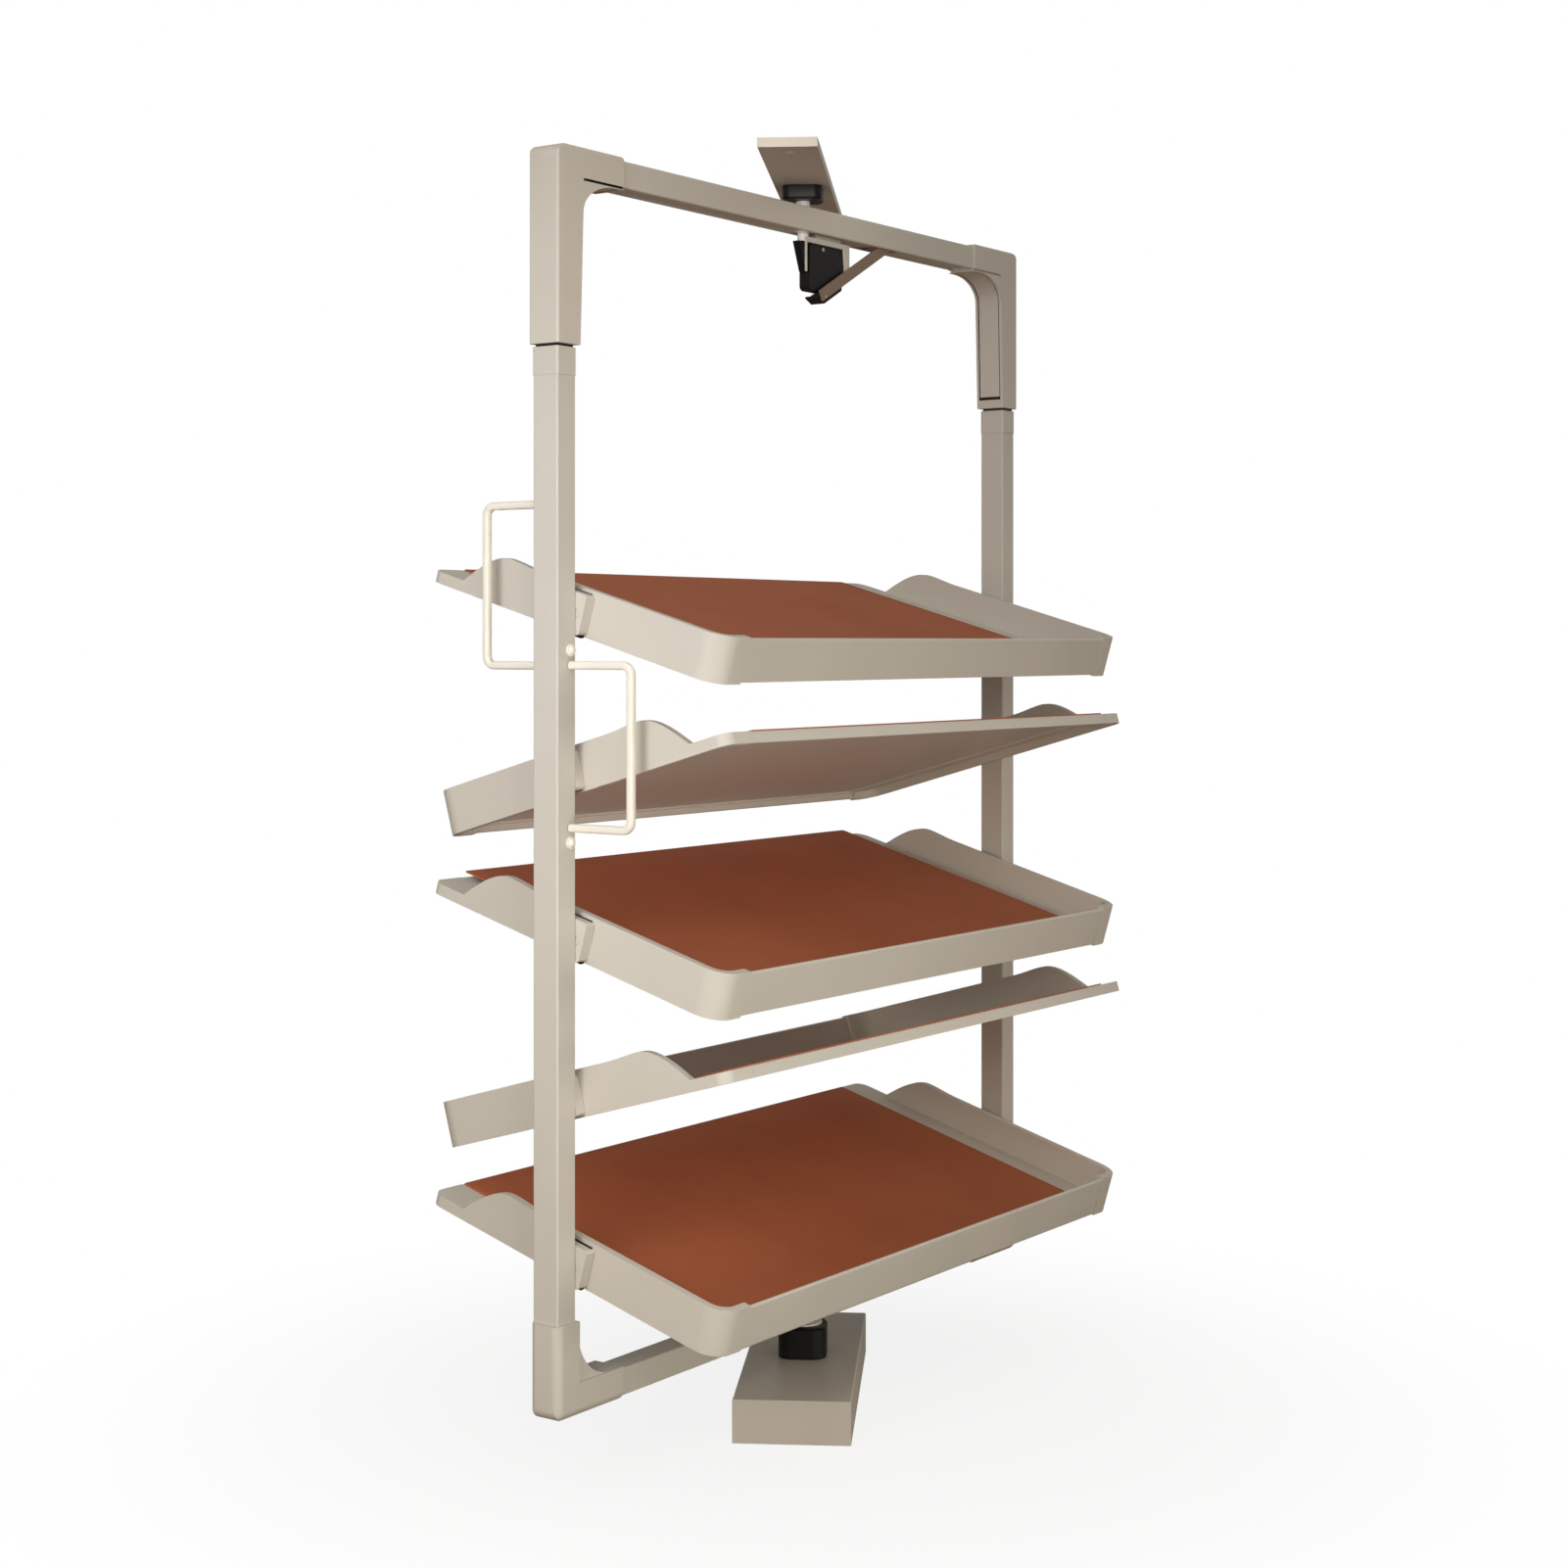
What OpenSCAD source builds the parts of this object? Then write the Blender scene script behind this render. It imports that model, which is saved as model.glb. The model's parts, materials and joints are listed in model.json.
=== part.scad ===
// Rotating shoe rack: a rectangular frame with five tilted trays turns about a
// vertical axis between a base beam on the cabinet floor and a strip under its top.
// Origin: on the turning axis, at floor level. X runs along the frame, Z is up.

/* [Frame] */
// Width of the frame over its posts
frame_w = 893; // [860:1:940]
// Height of the frame over its bars
frame_h = 1260; // [1230:1:1330]
// Post width, along the frame
post_w = 28; // [26:0.5:32]
// Post and bar depth, across the frame
post_d = 32; // [30:0.5:38]
// Height of the top and bottom bars
bar_h = 28; // [26:0.5:32]
// Wall of the post and bar tubes
tube_wall = 1.5; // [1.2:0.1:2]
// Rounding of the tube edges
tube_r = 2; // [1.8:0.1:3]
// Depth of the groove under the top bar
groove_deep = 2; // [1:0.5:3]
// Width of each cheek beside that groove
groove_cheek = 3.5; // [3:0.5:5]

/* [Corner connectors] */
// How far a connector stands out past the tubes
proud = 3; // [2:0.5:4]
// Length of a top connector's upright leg
top_leg_v = 198; // [170:1:220]
// Length of a top connector's level leg
top_leg_h = 104; // [96:1:130]
// Length of a bottom connector's upright leg
low_leg_v = 95; // [90:1:110]
// Length of a bottom connector's level leg
low_leg_h = 103; // [96:1:130]
// Extra thickness of a top connector's upright leg at its upper end
leg_flare = 13; // [6:0.5:16]
// Extra thickness of that leg at its lower end
leg_flare_end = 4; // [2:0.5:6]
// Length of the web in the corner between the legs
inner_r = 42; // [36:1:46]
// Height of the web in the corner between the legs
web_h = 24; // [18:1:30]
// Rounding of the outer corner
outer_r = 13; // [8:0.5:15]
// Rounding of the outer end of each level leg
end_r = 4; // [2:0.5:6]
// Rounding of a bottom connector's upright edges
low_r = 7; // [4:0.5:9]
// Step from a bottom connector's faces back to its web
web_step = 3; // [2:0.5:5]
// Length of the tongue that each leg pushes into its tube
tongue = 55; // [30:1:70]
// Length of a bottom connector's upright tongue, short of the bracket screws
low_tongue = 25; // [15:1:30]
// Clearance of a tongue inside its tube
tongue_gap = 0.2; // [0.1:0.05:0.4]
// Width of the cover strip inside a top connector
cover_w = 28; // [22:0.5:29]
// Thickness of that cover strip
cover_t = 3; // [2:0.5:4]
// Gap beside the cover strip
cover_gap = 1.2; // [0.5:0.1:1.5]
// Plain stretch left below the cover strip
cover_foot = 14; // [8:1:24]
// Where the slit along a top connector's faces starts
slit_x = 40; // [36:1:60]
// Height of that slit
slit_w = 2; // [1:0.5:3]
// Depth of that slit
slit_deep = 3; // [2:0.5:4]
// Height of the collar on each post
collar_h = 30; // [20:1:40]
// Wall of the collar
collar_wall = 0.6; // [0.5:0.1:1.2]
// Shadow gap between the collar and the connector
collar_gap = 1; // [0.5:0.1:2]

/* [Handles] */
// Height of a handle over its rod
handle_h = 170; // [140:1:200]
// How far a handle reaches out from the post
handle_reach = 82; // [60:1:100]
// Rod diameter
rod_d = 8.5; // [8:0.5:10]
// Centre-line radius of the rod's bends
bend_r = 9.5; // [8.5:0.5:16]
// Height of the front handle's centre above the frame's foot
front_handle_z = 665; // [560:1:700]
// Height of the rear handle's centre above the frame's foot
rear_handle_z = 826; // [720:1:900]
// Rod centre, in from the post's inner face
rod_in = 9; // [8.5:0.5:11]
// Thickness of the lug at each rod end
lug_t = 2.5; // [2:0.5:4]
// Distance of the lug's screw from the rod's centre
lug_screw = 15; // [13:0.5:20]

/* [Trays] */
// Gap between a post and the side of a tray
wall_gap = 14; // [12:0.5:18]
// Tray depth in front of its pivot line
tray_front = 184; // [165:1:190]
// Tray depth behind its pivot line
tray_rear = 202; // [190:1:206]
// Forward tilt of a tray
tray_tilt = 16; // [10:0.5:18]
// Spacing of the trays
tray_pitch = 163; // [155:1:166]
// Height of the lowest tray's pivot line above the frame's foot
tray_first = 126; // [118:1:140]
// Height of the side and front walls
wall_h = 48; // [42:0.5:52]
// Height of the hump near the rear of a side wall
hump_h = 50; // [48:0.5:54]
// Thickness of the tray's floor slab over its skirts
slab_h = 12; // [10:0.5:14]
// Width of a side wall's hollow rim
rim_w = 9; // [8:0.5:12]
// Skin of the moulded ends
skin = 2.4; // [2:0.1:2.8]
// Plan radius of the tray's front corners
corner_r = 26; // [20:1:34]
// Plan radius of the tray's rear corners
rear_r = 14; // [12:1:20]
// Length of a moulded end along the tray
end_len = 44; // [40:1:60]
// Step of the front lip below the moulded ends
lip_step = 1.5; // [1:0.5:2.5]
// Thickness of the front lip
lip_t = 4.5; // [3.5:0.5:6]
// Thickness of the sheet floor
sheet_t = 1.5; // [1.2:0.1:2]
// Thickness of the leather mat
mat_t = 1.6; // [1:0.1:3]
// Gap round the mat
mat_gap = 1.5; // [1:0.5:3]
// Distance of the front floor screws from the tray's front
screw_front = 30; // [24:1:60]
// Distance of the rear floor screws from the tray's back
screw_rear = 34; // [24:1:60]

/* [Tray brackets] */
// Width of a bracket, across the frame
bracket_w = 38; // [37:1:50]
// Height of a bracket
bracket_h = 42; // [36:1:44]
// Width of the rails each side of a bracket's pad
rail_w = 3; // [2.5:0.5:3.5]
// Thickness of the black pad between the rails
pad_t = 4; // [3:0.5:5]
// How far the pad stands out above and below the bracket
pad_out = 3.5; // [2:0.5:5]
// Diameter of the pegs that a tray end hangs on
peg_d = 8; // [6:0.5:10]
// Spacing of the two pegs
peg_gap = 20; // [19:0.5:20.5]

/* [Base] */
// Angle between the rack and the base beam, as the rack stands
beam_turn = 31; // [0:1:60]
// Length of the base beam
beam_l = 360; // [330:1:420]
// Width of the base beam
beam_w = 127; // [122:1:140]
// Height of the base beam
beam_h = 47; // [40:1:60]
// Sheet thickness of the beam
beam_wall = 2; // [1.5:0.1:2.5]
// Thickness of the floor plate inside the beam
plate_t = 4; // [3:0.5:5]
// Space between the beam and the frame's foot
foot_gap = 38; // [32:1:46]
// Width of the pivot housing
housing_w = 54; // [48:1:60]
// Plan radius of the pivot housing's corners
housing_r = 16; // [10:1:20]
// Diameter of both turning spindles
spindle_d = 16; // [14:0.5:18]
// Radial running clearance of a spindle in its bush
run_gap = 0.05; // [0.03:0.01:0.08]
// Thickness of the thrust washer
washer_t = 2; // [1.5:0.5:3]
// Diameter of the holes for floor and ceiling screws
screw_hole_d = 5.5; // [5:0.1:6.5]
// Circle of the four inner floor screws
inner_pcd = 110; // [104:1:114]
// Distance between the two outer floor screws
outer_span = 300; // [260:1:316]

/* [Ceiling strip] */
// Length of the strip
strip_l = 480; // [440:1:520]
// Width of the strip
strip_w = 63; // [56:1:70]
// Thickness of the strip
strip_t = 10; // [8:0.5:12]
// Space between the frame and the strip
head_gap = 24; // [20:1:30]
// Width of the black bearing block
block_w = 45; // [40:1:50]
// Height of the bearing block
block_h = 16; // [12:0.5:18]
// Distance between the two ceiling screws
strip_span = 420; // [380:1:430]

/* [Top pivot mechanism] */
// Depth of the black case under the top bar, across the frame
case_d = 14; // [12:0.5:15]
// How far the case hangs below the top bar
case_h = 64; // [60:1:66]
// Distance from the turning axis to the far end of the case's bracket
case_x1 = 81; // [76:1:88]
// Width of the bracket's near strip
near_w = 5; // [4:0.5:6]
// Width of the bracket's far strips
far_w = 9; // [7:0.5:12]
// Sheet thickness of the bracket
cheek_t = 2; // [1.5:0.1:2.2]
// Gap between the top bar and the bracket
hang_gap = 4.5; // [3:0.5:5]
// Width of the stay
stay_w = 13; // [11:0.5:14]
// Distance from the turning axis to the stay's foot on the bar
stay_foot_x = 151; // [144:1:160]
// Distance from the turning axis to the stay's lower end
stay_end_x = 20; // [18:1:24]
// How far the stay's lower end hangs below the top bar
stay_drop = 69; // [68:1:74]
// Length of the black clip under that end
clip_l = 49; // [36:1:52]
// Diameter of the upper spindle's tail, below the top bar
tail_d = 13; // [10:0.5:13.5]
// How far the tail hangs below the top bar
tail_drop = 9; // [7:0.5:10]
// How far the case's nose reaches past the turning axis
nose_back = 14; // [10:1:16]

/* [Hidden] */
$fn = 48;
paint = "#cdc3b2";
moulding = "#d3cabb";
leather = "#9c5533";
black = "#1b1b1d";
steel = "#c9c9c6";
cream = "#e0d6c4";
eps = 0.01;
seat = 0.3; // clearance between pieces that seat on each other
rack_z = beam_h + foot_gap; // height of the frame's foot
rack_top = rack_z + frame_h;
strip_z = rack_top + head_gap; // underside of the ceiling strip
post_x = frame_w / 2 - post_w / 2; // centre line of a post
bar_z = rack_z + bar_h / 2; // centre line of the bottom bar
top_bar_z = rack_top - bar_h / 2; // centre line of the top bar
corner_d = post_d + 2 * proud; // depth of a corner connector
leg_t = bar_h + 2 * proud; // thickness of a level leg
post_leg_t = post_w + 2 * proud; // thickness of a bottom connector's upright leg
flare_top = post_w + proud + leg_flare; // top connector's upright leg, upper end
flare_end = post_w + proud + leg_flare_end; // the same leg, lower end
bush_r = spindle_d / 2 + run_gap; // bore of the bushes
bush_wall = 3;
head_d = 9; // screw heads
head_t = 3;
shank_d = 4; // screw shanks
tray_w = frame_w - 2 * post_w - 2 * wall_gap; // over the outer side faces
bracket_t = wall_gap - seat; // a bracket fills the gap
web_t = bracket_t - pad_t - seat; // its web, behind the pad
pad_w = bracket_w - 2 * rail_w - 2 * seat;
tongue_wall = 3;
hump_y = 100; // crest of the hump, behind the pivot line
valley_y = 157; // where the side wall drops to the slab
level_y = 62; // where the hump runs out into the level wall
ledge = 8; // floor sheet's rest on a moulded end
ledge_y = -tray_front + lip_step / 2 + rim_w + seat; // it starts behind the lip's foot
case_top = -hang_gap - cheek_t - seat; // top of the case, from the bar's underside
case_x0 = 3; // near side of the case
nose_low = -44; // lower end of the nose and of the bracket's near strip
stay_rise = stay_drop / (stay_foot_x - stay_end_x); // slope of the stay
X_BOLT = [29, -15.5]; // the bolt through the case
lug_z = handle_h / 2 - rod_d / 2 + lug_screw; // lug screws above and below the centre
press_gap = 0.05; // a bush in its hole
SCREW_Z = [9, bracket_h - 5]; // bracket screws, above the foot of the tray
HANDLES = [[-1, front_handle_z], [1, rear_handle_z]]; // face of the post, height
bar_foot = rack_top - bar_h; // underside of the top bar
groove_top = bar_foot + groove_deep - seat; // highest thing in the bar's groove
cheek_y = case_d / 2 + seat + cheek_t; // outer faces of the case's bracket
stay_y0 = cheek_y + seat; // the stay lies from here
stay_y1 = post_d / 2 - groove_cheek - seat; // to here

NODES = concat(
    ["floor_plate", "base_beam", "lower_pivot_housing", "lower_spindle", "thrust_washer",
     "ceiling_strip", "upper_bearing_block", "upper_spindle", "left_post", "right_post",
     "top_bar", "bottom_bar", "top_left_corner", "top_right_corner", "bottom_left_corner",
     "bottom_right_corner", "left_corner_cover", "right_corner_cover", "left_collar",
     "right_collar", "rear_handle", "front_handle", "handle_screws", "pivot_case",
     "case_bracket", "case_stay", "stay_clip", "case_bolts", "lower_bush", "upper_bush",
     "left_tray_brackets", "right_tray_brackets", "bracket_pads", "bracket_screws",
     "tray_screws"],
    [for (k = [1:5], p = ["left_end", "right_end", "front_lip", "floor", "mat"])
        str("tray_", k, "_", p)]);

// Flat shapes and tubes

module rounded_rect(x, y, r) {
    square([x - 2 * r, y], center = true);
    square([x, y - 2 * r], center = true);
    for (i = [-1, 1], j = [-1, 1])
        translate([i * (x / 2 - r), j * (y / 2 - r)]) circle(r);
}

module upright(x, y, r, z0, z1) {
    translate([0, 0, z0]) linear_extrude(z1 - z0) rounded_rect(x, y, r);
}

module along_x(x0, x1) {
    translate([x0, 0, 0]) rotate([90, 0, 90]) linear_extrude(x1 - x0) children();
}

function oval(cx, cy, rx, ry, a0, a1, n) =
    [for (i = [0:n]) let (a = a0 + (a1 - a0) * i / n) [cx + rx * cos(a), cy + ry * sin(a)]];

function arc(cx, cy, r, a0, a1, n) = oval(cx, cy, r, r, a0, a1, n);

// Frame tubes

module post(side) {
    z0 = rack_z + low_leg_v - proud + seat;
    z1 = rack_top + proud - top_leg_v - collar_gap;
    color(paint) difference() {
        translate([side * post_x, 0, 0]) difference() {
            upright(post_w, post_d, tube_r, z0, z1);
            upright(post_w - 2 * tube_wall, post_d - 2 * tube_wall, tube_r - 1, z0 - 1,
                z1 + 1);
        }
        for (k = [1:5]) at_bracket(k, side * facing(k)) bracket_screw_holes();
        if (side < 0) for (h = HANDLES, s = [-1, 1]) on_post(h[0], h[1])
            translate([0, -tube_wall - 1, s * lug_z]) rotate([-90, 0, 0])
                cylinder(d = shank_d + 0.4, h = tube_wall + 2);
    }
}

module collar(side) {
    z1 = rack_top + proud - top_leg_v - collar_gap;
    color(paint) translate([side * post_x, 0, 0]) difference() {
        upright(post_w + 2 * collar_wall, post_d + 2 * collar_wall, tube_r + collar_wall,
            z1 - collar_h, z1);
        upright(post_w + 0.1, post_d + 0.1, tube_r, z1 - collar_h - 1, z1 + 1);
    }
}

module bar_section() {
    difference() {
        rounded_rect(post_d, bar_h, tube_r);
        rounded_rect(post_d - 2 * tube_wall, bar_h - 2 * tube_wall, tube_r - 1);
    }
}

module top_bar() {
    half = frame_w / 2 + proud - top_leg_h - seat;
    web = bar_h - 2 * tube_wall - groove_deep; // height inside, above the groove
    color(paint) translate([0, 0, top_bar_z]) difference() {
        along_x(-half, half) difference() {
            rounded_rect(post_d, bar_h, tube_r);
            translate([0, groove_deep / 2])
                rounded_rect(post_d - 2 * tube_wall, web, tube_r - 1);
            translate([0, -bar_h / 2])
                square([post_d - 2 * groove_cheek, 2 * groove_deep], center = true);
        }
        cylinder(r = bush_r + bush_wall + press_gap, h = 2 * bar_h, center = true);
    }
}

module bottom_bar() {
    half = frame_w / 2 + proud - low_leg_h - seat;
    color(paint) translate([0, 0, bar_z]) difference() {
        along_x(-half, half) bar_section();
        translate([0, 0, -bar_h])
            cylinder(r = bush_r + bush_wall + press_gap, h = 1.5 * bar_h - tube_wall);
    }
}

// Corner connectors. Their outline is drawn with the outer corner at the origin, X
// running inwards and Y running down the upright leg as negative values.

function web_arc(t) = oval(t + inner_r, -leg_t - web_h, inner_r, web_h, 90, 180, 12);

module corner_block(leg_v, leg_h, t_end, inner, r) {
    big = leg_v + leg_h;
    intersection() {
        rotate([90, 0, 0]) linear_extrude(corner_d, center = true) polygon(concat(
            arc(outer_r, -outer_r, outer_r, 180, 90, 8),
            arc(leg_h - end_r, -end_r, end_r, 90, 0, 4),
            [[leg_h, -leg_t]], inner, [[t_end, -leg_v], [0, -leg_v]]));
        translate([big / 2, 0, -big]) linear_extrude(2 * big) rounded_rect(big, corner_d, r);
        along_x(-big, big) translate([0, -big / 2]) rounded_rect(corner_d, big, 3);
    }
}

// Hollow tongues that run down inside the post and along inside the bar
module corner_tongues(leg_v, leg_h, low_drop, tongue_v) {
    px = proud + post_w / 2;
    tx = post_w - 2 * tube_wall - 2 * tongue_gap;
    ty = post_d - 2 * tube_wall - 2 * tongue_gap;
    tz = bar_h - 2 * tube_wall - 2 * tongue_gap - low_drop;
    translate([px, 0, 0]) difference() {
        upright(tx, ty, 1, -leg_v - tongue_v, -leg_v + 1);
        upright(tx - 2 * tongue_wall, ty - 2 * tongue_wall, 1, -leg_v - tongue_v - 1, -leg_v);
    }
    translate([0, 0, -proud - bar_h / 2 + low_drop / 2]) along_x(leg_h - 1, leg_h + tongue)
        difference() {
            rounded_rect(ty, tz, 1);
            translate([0, -tongue_wall]) square([ty - 2 * tongue_wall, tz], center = true);
        }
}

// Strip shape that follows the inner side of a top connector, grown by a gap
function cover_outline(grow) =
    let (t1 = flare_top, z1 = -leg_t - web_h, zf = -top_leg_v + cover_foot - 3 * grow,
         k = (flare_top - flare_end) / (top_leg_v - leg_t - web_h),
         xf = t1 - k * (z1 - zf), out = top_leg_h - cover_foot / 2 + grow,
         deep = cover_t + min(grow, seat))
    concat(
        [[out, -leg_t - eps]],
        oval(t1 + inner_r, z1, inner_r - eps, web_h - eps, 90, 180, 12),
        [[xf + eps, zf], [xf - deep, zf]],
        oval(t1 + inner_r, z1, inner_r + deep, web_h + deep, 180, 90, 12),
        [[out, -leg_t + deep]]);

module top_corner() {
    color(moulding) {
        difference() {
            corner_block(top_leg_v, top_leg_h, flare_end, web_arc(flare_top), 3);
            rotate([90, 0, 0]) linear_extrude(cover_w + 2 * cover_gap, center = true)
                polygon(cover_outline(cover_gap));
            // slit along both faces, in line with the lower edge of the bar
            for (s = [-1, 1]) translate([slit_x, s * corner_d / 2 - slit_deep,
                -proud - bar_h - slit_w]) cube([top_leg_h, 2 * slit_deep, slit_w]);
        }
        corner_tongues(top_leg_v, top_leg_h, groove_deep, tongue);
    }
}

module corner_cover() {
    color(moulding) rotate([90, 0, 0]) linear_extrude(cover_w, center = true)
        polygon(cover_outline(0));
}

module low_corner() {
    t = post_leg_t;
    color(moulding) {
        corner_block(low_leg_v, low_leg_h, t, [[t, -leg_t]], low_r);
        rotate([90, 0, 0]) linear_extrude(corner_d - 2 * web_step, center = true)
            polygon(concat([[t - 5, -leg_t + 5], [t + inner_r, -leg_t + 5]], web_arc(t),
                [[t - 5, -leg_t - web_h]]));
        corner_tongues(low_leg_v, low_leg_h, 0, low_tongue);
    }
}

module at_top_corner(side) {
    mirror([side > 0 ? 1 : 0, 0, 0])
        translate([-frame_w / 2 - proud, 0, rack_top + proud]) children();
}

module at_low_corner(side) {
    mirror([side > 0 ? 1 : 0, 0, 0])
        translate([-frame_w / 2 - proud, 0, rack_z - proud]) mirror([0, 0, 1]) children();
}

// Handles: a rod bent to a U, with a screwed lug at each end, on a face of the left post

module bent_rod() {
    arm = handle_reach - lug_t - rod_d / 2 - bend_r;
    half = handle_h / 2 - rod_d / 2;
    for (s = [-1, 1]) {
        translate([0, lug_t, s * half]) rotate([-90, 0, 0]) cylinder(d = rod_d, h = arm);
        translate([0, lug_t + arm, s * (half - bend_r)])
            rotate([0, 0, 90]) rotate([90, 0, 0]) rotate([0, 0, s > 0 ? 0 : -90])
                rotate_extrude(angle = 90) translate([bend_r, 0]) circle(d = rod_d);
    }
    translate([0, lug_t + arm + bend_r, -half + bend_r])
        cylinder(d = rod_d, h = 2 * (half - bend_r));
}

module lug(s) {
    half = handle_h / 2 - rod_d / 2;
    rotate([-90, 0, 0]) difference() {
        union() {
            for (z = [half, half + lug_screw]) translate([0, -s * z, 0])
                cylinder(d = rod_d + 4, h = lug_t);
            translate([-rod_d / 2 - 2, s > 0 ? -half - lug_screw : half, 0])
                cube([rod_d + 4, lug_screw, lug_t]);
        }
        translate([0, -s * lug_z, -1]) cylinder(d = shank_d + 0.4, h = lug_t + 2);
    }
}

// dir is -1 for the front face of the post and 1 for the rear face
module on_post(dir, z) {
    translate([-frame_w / 2 + post_w - rod_in, dir * post_d / 2, rack_z + z])
        mirror([0, dir < 0 ? 1 : 0, 0]) children();
}

module handle(dir, z) {
    color(cream) on_post(dir, z) {
        bent_rod();
        lug(-1);
        lug(1);
    }
}

module button_screw() {
    rotate([-90, 0, 0]) {
        translate([0, 0, -lug_t - tube_wall - 3])
            cylinder(d = shank_d, h = lug_t + tube_wall + 3 + head_t);
        cylinder(d1 = head_d, d2 = head_d - 3, h = head_t);
    }
}

module handle_screws() {
    color(steel) for (h = HANDLES, s = [-1, 1])
        on_post(h[0], h[1]) translate([0, lug_t, s * lug_z]) button_screw();
}

// Trays. A tray is drawn level about its pivot line, with its front towards -Y, then
// tilted. Every second tray is turned half round, so the trays face both ways.

module at_tray(k) {
    translate([0, 0, rack_z + tray_first + (5 - k) * tray_pitch])
        rotate([0, 0, k % 2 == 0 ? 180 : 0]) rotate([tray_tilt, 0, 0]) children();
}

module to_side(side) {
    mirror([side > 0 ? 1 : 0, 0, 0]) translate([-tray_w / 2, 0, 0]) children();
}

// Height of the side wall along the tray: level, then a hump, then a drop to the slab
function wall_top(drop) = concat(
    [for (i = [0:6]) let (t = i / 6) [level_y + (hump_y - level_y) * t,
        wall_h + (hump_h - wall_h) * (1 - cos(180 * t)) / 2 - drop]],
    [for (i = [1:12]) let (t = 1 - i / 12) [valley_y + (hump_y - valley_y) * t,
        slab_h - drop + (hump_h - slab_h) * sin(90 * t)]]);

module side_profile(drop, x0, x1, z0) {
    along_x(x0, x1) polygon(concat(
        [[tray_rear + 1, z0], [-tray_front - 1, z0], [-tray_front - 1, wall_h - drop]],
        wall_top(drop),
        [[tray_rear + 1, slab_h - drop]]));
}

// Plan of a moulded end, inset by m, from the side face inwards
module end_plan(m, len) {
    y0 = -tray_front + m;
    y1 = tray_rear - m;
    polygon(concat(
        arc(corner_r, y0 + corner_r - m, corner_r - m, 180, 270, 12),
        [[len, y0], [len, y1]],
        arc(rear_r, y1 - rear_r + m, rear_r - m, 90, 180, 8)));
}

module moulded_end(side) {
    color(moulding) to_side(side) difference() {
        union() {
            // hollow rim round the side and both corners
            intersection() {
                difference() {
                    translate([0, 0, -1]) linear_extrude(hump_h + 2) end_plan(0, end_len);
                    translate([0, 0, -2]) linear_extrude(hump_h + 4)
                        end_plan(rim_w, end_len + 1);
                }
                side_profile(0, -1, end_len + 1, 0);
            }
            // floor slab
            translate([0, 0, slab_h - skin]) linear_extrude(skin) end_plan(1, end_len);
            // ledge under the sheet floor
            translate([end_len - 1, ledge_y, slab_h - skin - sheet_t])
                cube([ledge + 1, tray_rear - rim_w - ledge_y, skin]);
            // pegs that the tray hangs on
            for (y = [-1, 1]) translate([-bracket_t, y * peg_gap / 2, bracket_h / 2 + 2])
                rotate([0, 90, 0]) cylinder(d = peg_d, h = bracket_t + 1);
        }
        // the rim is hollow from below
        intersection() {
            difference() {
                translate([0, 0, -2]) linear_extrude(hump_h + 2) end_plan(skin, end_len - skin);
                translate([0, 0, -3]) linear_extrude(hump_h + 4)
                    end_plan(rim_w - skin, end_len);
            }
            side_profile(skin, -1, end_len + 1, -1);
        }
    }
}

module front_lip() {
    half = tray_w / 2 - end_len - seat;
    y0 = -tray_front + lip_step / 2;
    color(paint) along_x(-half, half) {
        translate([y0, lip_step]) square([lip_t, wall_h - 2 * lip_step - lip_t / 2]);
        translate([y0 + lip_t / 2, wall_h - lip_step - lip_t / 2]) circle(d = lip_t);
        translate([y0, slab_h - sheet_t - skin]) square([rim_w, skin]);
    }
}

module tray_floor() {
    half = tray_w / 2 - end_len - seat;
    y0 = -tray_front + lip_t + lip_step / 2 + seat;
    y1 = tray_rear - sheet_t;
    color(paint) along_x(-half, half) {
        translate([y0, slab_h - sheet_t]) square([y1 - y0, sheet_t]);
        translate([y1, 0]) square([sheet_t, slab_h - 1]);
        translate([y1 - 6, 0]) square([6 + eps, sheet_t]);
        translate([y1, slab_h - 1]) square([sheet_t / 2, 1]);
    }
}

module mat() {
    half = tray_w / 2 - end_len - mat_gap;
    y0 = -tray_front + lip_t + lip_step / 2 + mat_gap;
    y1 = tray_rear - mat_gap;
    color(leather) translate([0, (y0 + y1) / 2, 0])
        upright(2 * half, y1 - y0, 3, slab_h + seat / 3, slab_h + mat_t);
}

// Brackets on the posts, one at each end of each tray

// Which end of the frame a tray's own left and right come to
function facing(k) = k % 2 == 0 ? -1 : 1;

module at_bracket(k, side) {
    at_tray(k) to_side(side) translate([-wall_gap, 0, 0]) children();
}

module peg_holes() {
    for (y = [-1, 1]) translate([-1, y * peg_gap / 2, bracket_h / 2 + 2])
        rotate([0, 90, 0]) cylinder(d = peg_d + 2 * seat, h = bracket_t + 2);
}

module upright_plate(x0, x1, y, z, r) {
    translate([x0, 0, bracket_h / 2 + 2]) rotate([0, 90, 0]) linear_extrude(x1 - x0)
        rounded_rect(z, y, r);
}

module bracket() {
    difference() {
        upright_plate(0, bracket_t, bracket_w, bracket_h, 4);
        // pocket for the pad, open above and below
        translate([web_t, -pad_w / 2 - seat, 0]) cube([pad_t + 1, pad_w + 2 * seat, 2 * bracket_h]);
        peg_holes();
        bracket_screw_holes();
        for (z = SCREW_Z) translate([web_t - head_t, 0, z]) rotate([0, 90, 0])
            cylinder(d = head_d + 1, h = head_t + 1);
    }
}

module bracket_screw_holes() {
    for (z = SCREW_Z) translate([-tube_wall - 1, 0, z]) rotate([0, 90, 0])
        cylinder(d = shank_d + 0.4, h = tube_wall + bracket_t + 2);
}

module tray_brackets(side) {
    color(paint) for (k = [1:5]) at_bracket(k, side * facing(k)) bracket();
}

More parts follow.
